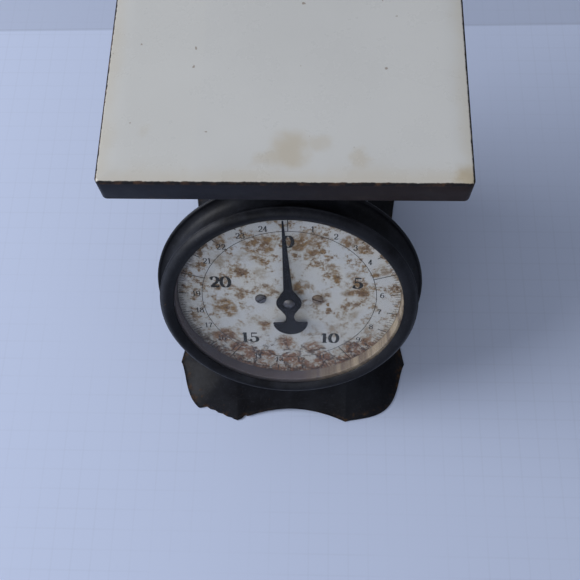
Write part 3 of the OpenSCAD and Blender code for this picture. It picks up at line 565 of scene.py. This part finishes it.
def drum_parts(japan, glass, liner, dial):
    """Drum, bezel, glass, liner and dial plate, turned round the dial's axis; returns the face's height."""
    rim_r = size_mm("drum_shell").x / 2
    back, front = dial_span("drum_shell")
    glass_r = size_mm("dial_glass").x / 2
    wall_r = glass_r + 1.3
    sheet = 0.9
    roll = 1.0
    neck = -1.0
    back_hole = 4.5
    axis_r = 0.01
    rolled = arc(rim_r - roll, back + roll, roll, -90, 125, 12)
    flare = curve(rolled[-1], (wall_r + 1.2, back + 1.6), (wall_r, neck), 12)
    section = ([(back_hole, back), (rim_r - roll - 2, back)] + rolled + flare
               + [(wall_r, front), (wall_r - sheet, front), (wall_r - sheet, neck)]
               + curve((wall_r - sheet, neck), (wall_r, back + 1.0), (rim_r - roll - 2, back + sheet))
               + [(back_hole, back + sheet)])
    place(lathe("drum", section), "housing", japan, "black_japan", "drum_shell")

    bezel_r = size_mm("bezel_ring").x / 2
    low, high = dial_span("bezel_ring")
    inner = wall_r + 0.05
    opening = min((v.co - DIAL_CENTRE - DIAL_NORMAL * (v.co - DIAL_CENTRE).dot(DIAL_NORMAL)).length
                  for v in nodes["bezel_ring"].data.vertices) / MM
    lip = front + 0.02
    edge = 0.7
    edge_z = 8.0
    crest = (wall_r + 0.2, high)
    rolled = arc(bezel_r - edge, edge_z, edge, -90, 70, 12)
    outer = inner + sheet
    section = ([(inner, low + 0.3), (inner + 0.3, low), (outer - 0.2, low), (outer, low + 0.3),
                (outer, edge_z - edge - 0.5), (outer + 0.5, edge_z - edge)] + rolled
               + curve(rolled[-1], (crest[0] + 1.9, high - 0.2), crest, 10)
               + curve(crest, (opening + 2.6, high + 0.1), (opening + 0.3, lip + 1.0), 10)
               + [(opening, lip + 0.5), (opening + 0.15, lip), (inner, lip)])
    place(lathe("bezel", section), "housing", japan, "black_japan", "bezel_ring")

    glass_low, glass_high = dial_span("dial_glass")
    ground = 0.2
    section = [(axis_r, glass_low), (glass_r - ground, glass_low), (glass_r, glass_low + ground),
               (glass_r, glass_high - ground), (glass_r - ground, glass_high), (axis_r, glass_high)]
    pane = lathe("glass", section)
    dial_uv(pane)
    place(pane, "housing", glass, "clear_glass", "dial_glass")

    liner_low, liner_high = dial_span("dial_liner")
    liner_out = size_mm("dial_liner").x / 2
    dial_r = size_mm("dial_plate").x / 2
    wall = dial_r + 0.2
    turned = 0.3
    section = [(wall, liner_low), (wall + sheet, liner_low), (wall + sheet, liner_high - sheet),
               (liner_out, liner_high - sheet), (liner_out, liner_high), (wall + turned, liner_high),
               (wall, liner_high - turned)]
    ring = lathe("liner", section)
    dial_uv(ring)
    place(ring, "housing", liner, "liner_paint", "dial_liner")

    dial_low, dial_high = dial_span("dial_plate")
    arbor_hole, rounded = 3.0, 0.15
    section = [(arbor_hole, dial_low), (dial_r, dial_low), (dial_r, dial_high - rounded),
               (dial_r - rounded, dial_high), (arbor_hole, dial_high)]
    plate = lathe("dial_face", section)
    dial_uv(plate)
    place(plate, "housing", dial, "dial_paint", "dial_plate")
    return dial_high


# ---------------------------------------------------------------- dial graphics


def pen_stroke(points, thick, thin):
    """A ribbon along points: upright stretches are thick and level ones thin, as with a broad pen."""
    left, right = [], []
    for i, p in enumerate(points):
        a, b = points[max(i - 1, 0)], points[min(i + 1, len(points) - 1)]
        dx, dy = b[0] - a[0], b[1] - a[1]
        length = math.hypot(dx, dy) or 1.0
        dx, dy = dx / length, dy / length
        half = (thin + (thick - thin) * abs(dy) ** 1.3) / 2
        left.append((p[0] - dy * half, p[1] + dx * half))
        right.append((p[0] + dy * half, p[1] - dx * half))
    return left + right[::-1]


def oval(cx, cy, rx, ry, start, end, count=26):
    steps = [math.radians(start + (end - start) * i / (count - 1)) for i in range(count)]
    return [(cx + rx * math.cos(a), cy + ry * math.sin(a)) for a in steps]


def disc(cx, cy, r):
    return oval(cx, cy, r, r, 0, 360, 17)[:-1]


def bar(x0, y0, x1, y1):
    return [(x0, y0), (x1, y0), (x1, y1), (x0, y1)]


def digit(char, thick, thin):
    """A serif digit one unit high, standing on y = 0: its pen strokes, its filled shapes and its width."""
    h = thin / 2
    w = thick / 2
    foot = thick * 0.8
    strokes = {
        "0": [oval(0.32, 0.5, 0.27, 0.5 - h, 90, 450, 44)],
        "1": [],
        "2": [oval(0.30, 0.72, 0.22, 0.28 - h, 165, -20)
              + [(0.50, 0.60), (0.40, 0.42), (0.22, 0.25), (0.08, thin)]],
        "3": [oval(0.28, 0.76, 0.19, 0.24 - h, 160, -90), oval(0.27, 0.29, 0.25, 0.29 - h, 90, -165)],
        "4": [[(0.35, 0.98), (0.2, 0.65), (0.04, 0.30)]],
        "5": [oval(0.27, 0.31, 0.26, 0.31 - h, 125, -160)],
        "6": [oval(0.30, 0.30, 0.24, 0.30 - h, 90, 450, 36), oval(0.40, 0.50, 0.34, 0.50 - h, 95, 200)],
        "7": [[(0.54, 0.97), (0.38, 0.66), (0.28, 0.36), (0.26, 0.0)]],
        "8": [oval(0.30, 0.77, 0.19, 0.23 - h, 90, 450, 32), oval(0.30, 0.28, 0.24, 0.28 - h, 90, 450, 36)],
    }
    fills = {
        "1": [bar(0.24 - w, 0, 0.24 + w, 1.0), bar(0.05, 0, 0.43, thin),
              [(0.24 - w, 1.0), (0.05, 0.84), (0.05, 0.78), (0.24 - w, 0.84)]],
        "2": [disc(0.12, 0.74, 0.075), bar(0.05, 0, 0.56, foot),
              [(0.50, 0), (0.58, 0), (0.60, 0.26), (0.56, 0.26)]],
        "3": [disc(0.12, 0.80, 0.07), disc(0.08, 0.24, 0.075)],
        "4": [bar(0.36 - w, 0, 0.36 + w, 1.0), bar(0.22, 0, 0.52, thin),
              bar(0.02, 0.27, 0.58, 0.27 + thin * 1.2)],
        "5": [bar(0.10, 0.88, 0.50, 1.0), bar(0.10, 0.50, 0.10 + thin, 0.98), disc(0.08, 0.25, 0.08)],
        "6": [disc(0.46, 0.90, 0.07)],
        "7": [bar(0.04, 1.0 - foot, 0.56, 1.0), bar(0.04, 0.76, 0.04 + thin, 1.0)],
    }
    if char == "9":
        ribbons, shapes, width = digit("6", thick, thin)
        turned = lambda outline: [(0.60 - x, 1.0 - y) for x, y in outline]
        return [turned(r) for r in ribbons], [turned(s) for s in shapes], width
    ribbons = [pen_stroke(points, thick, thin) for points in strokes[char]]
    return ribbons, fills.get(char, []), {"0": 0.64, "1": 0.48}.get(char, 0.60)


class Print:
    """Printed shapes gathered into one thin mesh on the dial's face."""

    def __init__(self, height):
        self.height = height
        self.verts = []
        self.faces = []
        self.layer = 0

    def shape(self, outline, ribbon=False):
        start = len(self.verts)
        n = len(outline)
        step = 0.004
        z = self.height + step * (self.layer % 3)
        self.layer += 1
        self.verts += [on_dial(x, y, z) for x, y in outline]
        if ribbon:
            end = start + n - 1
            self.faces += [(start + i, start + i + 1, end - 1 - i, end - i) for i in range(n // 2 - 1)]
        else:
            self.faces.append(tuple(range(start, start + n)))

    def number(self, text, cx, cy, height, thick, thin, spread=1.0):
        glyphs = [digit(c, thick, thin) for c in text]
        gap = 0.07
        x = -(sum(width for _, _, width in glyphs) + gap * (len(glyphs) - 1)) / 2
        for ribbons, shapes, width in glyphs:
            for outline in ribbons + shapes:
                moved = [(cx + (x + px) * height * spread, cy + (py - 0.5) * height) for px, py in outline]
                self.shape(moved, ribbon=outline in ribbons)
            x += width + gap

    def radial(self, angle, r0, r1, width):
        """A line along a radius; the angle runs clockwise from the top, in degrees."""
        s, c = math.sin(math.radians(angle)), math.cos(math.radians(angle))
        corners = [(r0, -1), (r0, 1), (r1, 1), (r1, -1)]
        self.shape([(r * s + side * width / 2 * c, r * c - side * width / 2 * s) for r, side in corners])

    def circle(self, radius, width, count=180):
        start = len(self.verts)
        for x, y in around(count):
            for r in (radius - width / 2, radius + width / 2):
                self.verts.append(on_dial(r * x, r * y, self.height))
        for k in range(count):
            a, b = start + 2 * k, start + 2 * ((k + 1) % count)
            self.faces.append((a, a + 1, b + 1, b))

    def finish(self, name, material):
        piece = new_object(name, self.verts, self.faces, smooth=False)
        film = piece.modifiers.new("film", "SOLIDIFY")
        film.thickness = 0.02 * MM
        film.offset = 0
        return place(piece, "housing", material, "pointer_black")


def dial_print(height, black, edge_r):
    """The ring, the graduations and the numbers: 25 divisions of one pound, numbered 0 to 24."""
    divisions = 25
    ring_r = 50.8
    mark_r = edge_r - 0.4
    step = 360 / divisions
    lines = Print(height)
    lines.circle(ring_r, 0.36)
    for k in range(divisions):
        lines.radial(k * step, ring_r if k % 5 == 0 else edge_r - 6.3, mark_r, 0.5)
        for part in range(1, 8):
            length = 4.2 if part == 4 else 2.6
            lines.radial((k + part / 8) * step, mark_r - length, mark_r, 0.26)
    lines.finish("dial_lines", black)
    numbers = Print(height)
    for k in range(divisions):
        s, c = math.sin(math.radians(k * step)), math.cos(math.radians(k * step))
        if k % 5 == 0:
            r = 41.5 if k else 43.5
            numbers.number(str(k), r * s, r * c, 8.6, 0.23, 0.06, spread=1.05)
        else:
            numbers.number(str(k), (ring_r + 3.3) * s, (ring_r + 3.3) * c, 4.0, 0.16, 0.07)
    numbers.finish("dial_numbers", black)


# ---------------------------------------------------------------- dial screws, pointer


def slotted_head(name, cx, cy, z, radius, height, turn):
    """A low round screw head with its slot cut across."""
    slot_half = 0.4
    slot_floor = 0.45
    turns = 40
    outline = [(1, 0), (1, 0.4), (0.93, 0.75), (0.72, 1)]
    bm = bmesh.new()
    rings = [[bm.verts.new((r * radius * x, r * radius * y, h * height)) for x, y in around(turns)]
             for r, h in outline]
    for a, b in zip(rings, rings[1:]):
        for k in range(turns):
            bm.faces.new((a[k], a[(k + 1) % turns], b[(k + 1) % turns], b[k]))
    bm.faces.new(rings[-1])
    bm.faces.new(rings[0][::-1])
    mesh = bpy.data.meshes.new(name)
    bm.to_mesh(mesh)
    bm.free()
    head = bpy.data.objects.new(name, mesh)
    bpy.context.scene.collection.objects.link(head)
    cutter = extrude_outline(name + "_cutter", bar(-radius * 2, -slot_half, radius * 2, slot_half),
                             height * slot_floor, height * 2, to_world=lambda x, y, h: Vector((x, y, h)))
    cut = head.modifiers.new("slot", "BOOLEAN")
    cut.operation = "DIFFERENCE"
    cut.solver = "EXACT"
    cut.object = cutter
    bpy.context.view_layer.update()
    made = bpy.data.meshes.new_from_object(head.evaluated_get(bpy.context.evaluated_depsgraph_get()))
    bpy.data.objects.remove(cutter)
    head.modifiers.clear()
    head.data = made
    spin = Matrix.Rotation(math.radians(turn), 4, "Z")
    for v in made.vertices:
        p = spin @ v.co
        v.co = on_dial(cx + p.x, cy + p.y, z + p.z)
    sharp_by_angle(head, 35)
    return head


def dial_screws(dark, rusty, face):
    head_r, head_h, seat_gap = 3.3, 1.6, 0.02
    reach = size_mm("dial_screws").x / 2 - head_r
    for side, material, turn in ((-1, dark, 35), (1, rusty, -20)):
        name = "left" if side < 0 else "right"
        head = slotted_head(f"dial_screw_{name}", side * reach, 0, face + seat_gap, head_r, head_h, turn)
        place(head, "housing", material, "dark_steel")
    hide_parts("dial_screws")


def pointer(black, rivet):
    """The needle with its hub, waist and half-round counterweight, slightly domed at the edges."""
    low, high = dial_span("pointer_hand")
    reach = max((v.co - DIAL_CENTRE).length for v in nodes["pointer_hand"].data.vertices) / MM - 0.02
    tip = min(reach, 61.0)
    rest = -2.5
    hub = 7.4
    weight_r = 10.3
    weight_y = -15.9
    right_side = ([(0.5, tip), (2.65, 10.2), (3.2, 9.0), (4.5, 7.2)] + arc(0, 0, hub, 42, -36, 16)
                  + [(4.5, -6.6), (3.2, -8.6), (2.5, -10.6), (2.45, -12.6), (2.8, -14.4), (3.8, -15.5),
                     (5.5, weight_y), (9.9, weight_y), (10.25, -16.3)]
                  + arc(0, weight_y, weight_r, -3, -86, 22))
    outline = right_side + [(-x, y) for x, y in reversed(right_side)]
    turn = math.radians(-rest)
    c, s = math.cos(turn), math.sin(turn)
    place_hand = lambda x, y, z: on_dial(x * c - y * s, x * s + y * c, z)
    hand = extrude_outline("pointer", outline, low, high, to_world=place_hand)
    bevel(hand, 0.22, 3, 30)
    sharp_by_angle(hand, 30)
    place(hand, "pointer", black, "pointer_black", "pointer_hand")

    axis_r = 0.01
    cap_low, cap_high = dial_span("pointer_cap")
    radius = size_mm("pointer_cap").x / 2
    dome = [(axis_r, cap_high), (radius * 0.35, cap_high - 0.1), (radius * 0.65, cap_high - 0.42),
            (radius * 0.88, cap_high - 0.95), (radius, cap_low + 0.25), (radius, cap_low), (axis_r, cap_low)]
    place(lathe("pointer_rivet", dome, 64), "pointer", rivet, "dark_steel", "pointer_cap")


# ---------------------------------------------------------------- base skirt


def base_skirt(material):
    """The pressed skirt: four lobed feet, lifted arches between them, and a flare up to the tower."""
    low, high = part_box("base_skirt")
    low, high = low / MM, high / MM
    mid_x, mid_y = (low.x + high.x) / 2, (low.y + high.y) / 2
    half_w, half_d, height = (high.x - low.x) / 2, (high.y - low.y) / 2, high.z - low.z
    _, tower_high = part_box("tower_shell")
    tower_x = tower_high.x / MM
    tower_front, tower_rear = BASE_TOP_FRONT - mid_y, tower_high.y / MM - mid_y
    tip_span = 73
    tip_inset = 40.5
    lobe_h = 13
    lobe_p = 1.3
    lobe_skew = 0.92
    arch_in = 8
    arch_lift = 2.5
    flare = 1.7
    corner = 6
    sheet = 1.6
    lip = 9
    worn_up = 0.12
    arch_n, lobe_n, ring_n = 40, 56, 22

    front_tip = np.array([tip_span / 2, -half_d])
    side_tip = np.array([half_w, -half_d + tip_inset])
    line = side_tip - front_tip
    line_length = np.hypot(*line)
    outward = np.array([line[1], -line[0]]) / line_length

    def worn_edge(s):
        """How far the corroded front left lobe still stands out beyond the line between its tips."""
        along = s * line_length
        return 0.2 + 0.4 * along + 1.2 * max(0, along - 22) + 0.3 * math.sin(1.1 * along)

    def foot_quarter(worn=False):
        notch = 1.6 if worn else 0
        points = []
        for s in np.arange(arch_n) / arch_n:
            chipped = notch * max(0, 1 - abs(s - 0.86) / 0.05)
            points.append((s * tip_span / 2, -half_d + arch_in * (1 - s * s) + chipped, 1 - s))
        for s in np.linspace(0, 1, lobe_n + 1):
            bulge = lobe_h * max(0, math.sin(math.pi * s ** lobe_skew)) ** lobe_p
            if worn:
                bulge = min(bulge, worn_edge(s))
            points.append((*(front_tip + line * s + outward * bulge), 0))
        points += [(half_w - arch_in * (1 - s * s), side_tip[1] * s, 1 - s)
                   for s in 1 - np.arange(1, arch_n + 1) / arch_n]
        return points

    def top_quarter(y_end):
        cx, cy = tower_x - corner, y_end + corner
        points = [(cx * i / arch_n, y_end, 0) for i in range(arch_n)]
        points += [(x, y, 0) for x, y in arc(cx, cy, corner, -90, 0, lobe_n + 1)]
        points += [(tower_x, cy - cy * i / arch_n, 0) for i in range(1, arch_n + 1)]
        return points

    def whole(front, rear, left):
        """Four quarters joined counter-clockwise; each runs from the front or rear middle to a side."""
        right_rear = [(x, -y, w) for x, y, w in reversed(rear[:-1])]
        left_rear = [(-x, -y, w) for x, y, w in rear[1:]]
        left_front = [(-x, y, w) for x, y, w in reversed(left[1:-1])]
        return np.array(front + right_rear + left_rear + left_front)

    foot = whole(foot_quarter(), foot_quarter(), foot_quarter())
    worn_foot = whole(foot_quarter(), foot_quarter(), foot_quarter(worn=True))
    top = whole(top_quarter(tower_front), top_quarter(-tower_rear), top_quarter(tower_front))

    def shrunk(loop, by):
        along = np.roll(loop[:, :2], -1, axis=0) - np.roll(loop[:, :2], 1, axis=0)
        along /= np.maximum(np.hypot(along[:, 0], along[:, 1]), 1e-9)[:, None]
        return loop[:, :2] + np.stack([-along[:, 1], along[:, 0]], axis=1) * by

    def section(t, by, top_z, up=0.0):
        s = 1 - (1 - t) ** flare
        sound = min(1, t / worn_up)
        edge = shrunk(foot, by) * sound + shrunk(worn_foot, by) * (1 - sound)
        plan = edge * (1 - s) + shrunk(top, by) * s
        z = arch_lift * foot[:, 2] * (1 - t) + top_z * t + up
        return np.column_stack([plan, z])

    def flat(by, z):
        return np.column_stack([shrunk(top, by), np.full(len(top), z)])

    steps = np.linspace(0, 1, ring_n + 1) ** 1.15
    rings = [section(0, 0.0, height, 0.7), section(0, 0.25, height, 0.2), section(0, 0.8, height, 0.0),
             section(0, sheet - 0.25, height, 0.2)][::-1]
    rings += [section(t, 0.0, height) for t in steps[1:]]
    rings += [flat(lip, height), flat(lip, height - sheet)]
    rings += [section(t, sheet, height - sheet) for t in steps[:0:-1]]
    verts = [Vector((mid_x + p[0], mid_y + p[1], low.z + p[2])) * MM for ring in rings for p in ring]
    piece = new_object("base", verts, quads(len(rings), len(foot), wrap=True))
    sharp_by_angle(piece, 55)
    return place(piece, "housing", material, "black_japan", "base_skirt")


# ---------------------------------------------------------------- springs


def tube(name, points, radius, sides=14):
    """A round wire along a path, with a closed end at each side."""
    rings = []
    across = Vector((1, 0, 0))
    for i, p in enumerate(points):
        along = (points[min(i + 1, len(points) - 1)] - points[max(i - 1, 0)]).normalized()
        across = (across - along * across.dot(along)).normalized()
        other = along.cross(across)
        rings.append([p + (across * x + other * y) * radius for x, y in around(sides)])
    verts = [v for ring in rings for v in ring]
    faces = quads(len(points), sides)
    faces += [tuple(range(sides)), tuple(range(len(verts) - 1, len(verts) - sides - 1, -1))]
    return new_object(name, verts, faces)


def spring(node, material):
    """A close-wound coil between the hanger and the yoke; its ends rise on its axis and bend over."""
    low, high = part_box(node)
    mid = (low + high) / 2 / MM
    wire = 1.0
    end_room = 11.2
    turns = 20
    per_turn = 28
    bend = 4.0
    bottom, top = low.z / MM + wire, high.z / MM - wire
    coil_low, coil_high = bottom + end_room, top - end_room
    coil_r = (high.x - low.x) / 2 / MM - wire
    path = [(0, bend, bottom), (0, 1, bottom), (0, 0, bottom + 1), (0, 0, coil_low - 3),
            (1, 0, coil_low - 1.5)]
    for i in range(turns * per_turn + 1):
        a = 2 * math.pi * i / per_turn
        z = coil_low + (coil_high - coil_low) * i / (turns * per_turn)
        path.append((coil_r * math.cos(a), coil_r * math.sin(a), z))
    path += [(1, 0, coil_high + 1.5), (0, 0, coil_high + 3), (0, 0, top - 1), (0, 1, top), (0, bend, top)]
    points = [Vector((mid.x + x, mid.y + y, z)) * MM for x, y, z in path]
    piece = tube(node.replace("_spring", "_coil"), points, wire * MM)
    paint(piece, material)
    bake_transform(piece)
    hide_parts(node)
    return piece


# ---------------------------------------------------------------- CAD nodes with softened edges


def body_name(node):
    return nodes[node].parent.name.split(":")[-1]


def softened(node, material, slot, width_mm, angle=30):
    """A piece with a CAD node's own shape, its sharp edges rounded over."""
    bm = bmesh.new()
    bm.from_mesh(nodes[node].data)
    bmesh.ops.remove_doubles(bm, verts=bm.verts, dist=0.002 * MM)
    bmesh.ops.dissolve_limit(bm, angle_limit=math.radians(0.3), verts=bm.verts, edges=bm.edges)
    steep = math.radians(angle)
    sharp = [e for e in bm.edges if len(e.link_faces) == 2 and e.calc_face_angle(0) > steep]
    bmesh.ops.bevel(bm, geom=sharp, offset=width_mm * MM, offset_type="OFFSET", segments=2, profile=0.5,
                    affect="EDGES", clamp_overlap=True)
    mesh = bpy.data.meshes.new(node + "_soft")
    bm.to_mesh(mesh)
    bm.free()
    piece = bpy.data.objects.new(node + "_soft", mesh)
    bpy.context.scene.collection.objects.link(piece)
    sharp_by_angle(piece, 40)
    shade = piece.modifiers.new("flat_faces", "WEIGHTED_NORMAL")
    shade.keep_sharp = True
    return place(piece, body_name(node), material, slot, node)


# ---------------------------------------------------------------- floor, light and camera


def floor():
    """A pale blue-white board with a faint half-inch grid; a second sheet starts behind the scale."""
    g = Graph("floor_paper", Roughness=0.9)
    pitch = 0.0127
    x, y, _ = g.split()
    colour = g.mix(g.noise(3, 2), (0.56, 0.635, 0.845), (0.58, 0.655, 0.865))
    for run in (x, y):
        away = g.math("PINGPONG", run, pitch / 2)
        ruled = g.math("MULTIPLY", g.band(away, 0.0009, 0.0002), g.band(g.noise(9, 3), 0.3, 0.6))
        colour = g.mix(g.math("MULTIPLY", ruled, 0.07), colour, (0.30, 0.34, 0.46))
    seam_y = 0.211
    beyond = g.math("SUBTRACT", y, g.math("MULTIPLY", x, 0.015))
    colour = g.mix(g.band(beyond, seam_y, seam_y + 0.0008, 0.0, 0.35), colour, (0.30, 0.34, 0.46))
    line = g.band(g.math("ABSOLUTE", g.math("SUBTRACT", beyond, seam_y)), 0.0016, 0.0004)
    colour = g.mix(g.math("MULTIPLY", line, 0.22), colour, (0.16, 0.18, 0.25))
    g.to("Base Color", colour)
    half = 2.5
    verts = [(-half, -half, 0), (half, -half, 0), (half, half, 0), (-half, half, 0)]
    ground = new_object("floor", verts, [(0, 1, 2, 3)], smooth=False)
    paint(ground, g.mat)


def area_light(name, place_at, target, size, energy, colour):
    data = bpy.data.lights.new(name, "AREA")
    data.shape = "DISK"
    data.size = size
    data.energy = energy
    data.color = colour
    lamp = bpy.data.objects.new(name, data)
    bpy.context.scene.collection.objects.link(lamp)
    lamp.location = place_at
    lamp.rotation_euler = (Vector(target) - Vector(place_at)).to_track_quat("-Z", "Y").to_euler()


def studio():
    world = bpy.data.worlds.new("studio")
    world.use_nodes = True
    tree = world.node_tree
    sky = tree.nodes["Background"]
    sky.inputs["Color"].default_value = (0.86, 0.91, 1.0, 1)
    split = tree.nodes.new("ShaderNodeSeparateXYZ")
    tree.links.new(tree.nodes.new("ShaderNodeTexCoord").outputs["Generated"], split.inputs["Vector"])
    across = tree.nodes.new("ShaderNodeMapRange")
    across.inputs["From Min"].default_value = -1.0
    across.inputs["From Max"].default_value = 1.0
    across.inputs["To Min"].default_value = 0.50
    across.inputs["To Max"].default_value = 0.14
    tree.links.new(split.outputs["X"], across.inputs["Value"])
    tree.links.new(across.outputs["Result"], sky.inputs["Strength"])
    bpy.context.scene.world = world
    bpy.context.scene.view_settings.view_transform = "Standard"
    area_light("window", (-1.6, -0.05, 1.1), (0, 0, 0.08), 1.4, 28, (0.97, 0.98, 1.0))
    area_light("front", (-0.4, -1.3, 1.25), (0, 0, 0.08), 1.2, 3.5, (0.97, 0.98, 1.0))


def camera():
    """The photograph's view, from high in front, aimed just beyond the dial's centre."""
    beyond_centre = Vector((0.4, 5.4, 0.0))
    aim = (DIAL_CENTRE / MM + beyond_centre) * MM
    azimuth, elevation, roll = math.radians(4.69), math.radians(68.84), math.radians(-3.77)
    distance = 0.4617
    forward = Vector((-math.sin(azimuth), math.cos(azimuth), 0)) * math.cos(elevation)
    forward.z = -math.sin(elevation)
    data = bpy.data.cameras.new("camera")
    data.lens = 48.9
    data.sensor_width = 36
    eye = bpy.data.objects.new("camera", data)
    bpy.context.scene.collection.objects.link(eye)
    level = forward.cross(Vector((0, 0, 1))).normalized()
    up = level.cross(forward)
    right = level * math.cos(roll) + up * math.sin(roll)
    up = right.cross(forward)
    eye.matrix_world = Matrix((right, up, -forward)).transposed().to_4x4()
    eye.matrix_world.translation = aim - forward * distance
    bpy.context.scene.camera = eye


# ---------------------------------------------------------------- the whole object

BASE_TOP_FRONT = min(v.co.y for v in nodes["tower_shell"].data.vertices) / MM

pan_low, pan_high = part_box("platform_pan")
japan = black_japan("black_japan")
japan_rim = black_japan("black_japan_base", rust=0.4, dust=0.2, rim_height=6, shine=0.08)
japan_drum = black_japan("black_japan_drum", rust=0.1, dust=0.5)
dark_steel = steel("dark_steel", (0.17, 0.165, 0.17), rust=0.5)
rusty_steel = steel("rusty_steel", (0.35, 0.27, 0.2), rust=1.0)
spring_steel = steel("spring_steel", (0.25, 0.25, 0.27), rust=0.2)
brass = old_brass("old_brass")
pointer_paint = black_japan("pointer_black", rust=0.15, dust=0.5)

platform_pan(enamel("white_enamel", pan_low, pan_high))
dial_face = drum_parts(japan_drum, dusty_glass("clear_glass"), liner_paint("liner_paint"),
                       dial_paint("dial_paint", size_mm("dial_plate").x / 2))
dial_print(dial_face + 0.03, ink("print_black"), size_mm("dial_plate").x / 2)
dial_screws(dark_steel, rusty_steel, dial_face)
pointer(pointer_paint, dark_steel)
base_skirt(japan_rim)
spring("left_spring", spring_steel)
spring("right_spring", spring_steel)
for node in ("tower_shell", "top_cap", "back_cover", "platform_spider"):
    softened(node, japan, "black_japan", 0.3)
for node in ("mechanism_frame", "spring_hanger", "spring_yoke", "rack_arm", "arbor_bracket", "stem",
             "yoke_nuts"):
    softened(node, dark_steel, "dark_steel", 0.25)
softened("zero_screw", brass, "old_brass", 0.15)
for node in ("base_screws", "cap_screws", "cover_screws", "frame_screws", "hanger_pin", "pan_screws",
             "spider_screws", "arm_screws", "rack_screws", "arbor"):
    paint(nodes[node], dark_steel)
for node in ("dial_posts", "front_arbor_bush", "rear_arbor_bush", "upper_stem_bush", "lower_stem_bush",
             "rack", "pinion"):
    paint(nodes[node], brass)

floor()
studio()
camera()
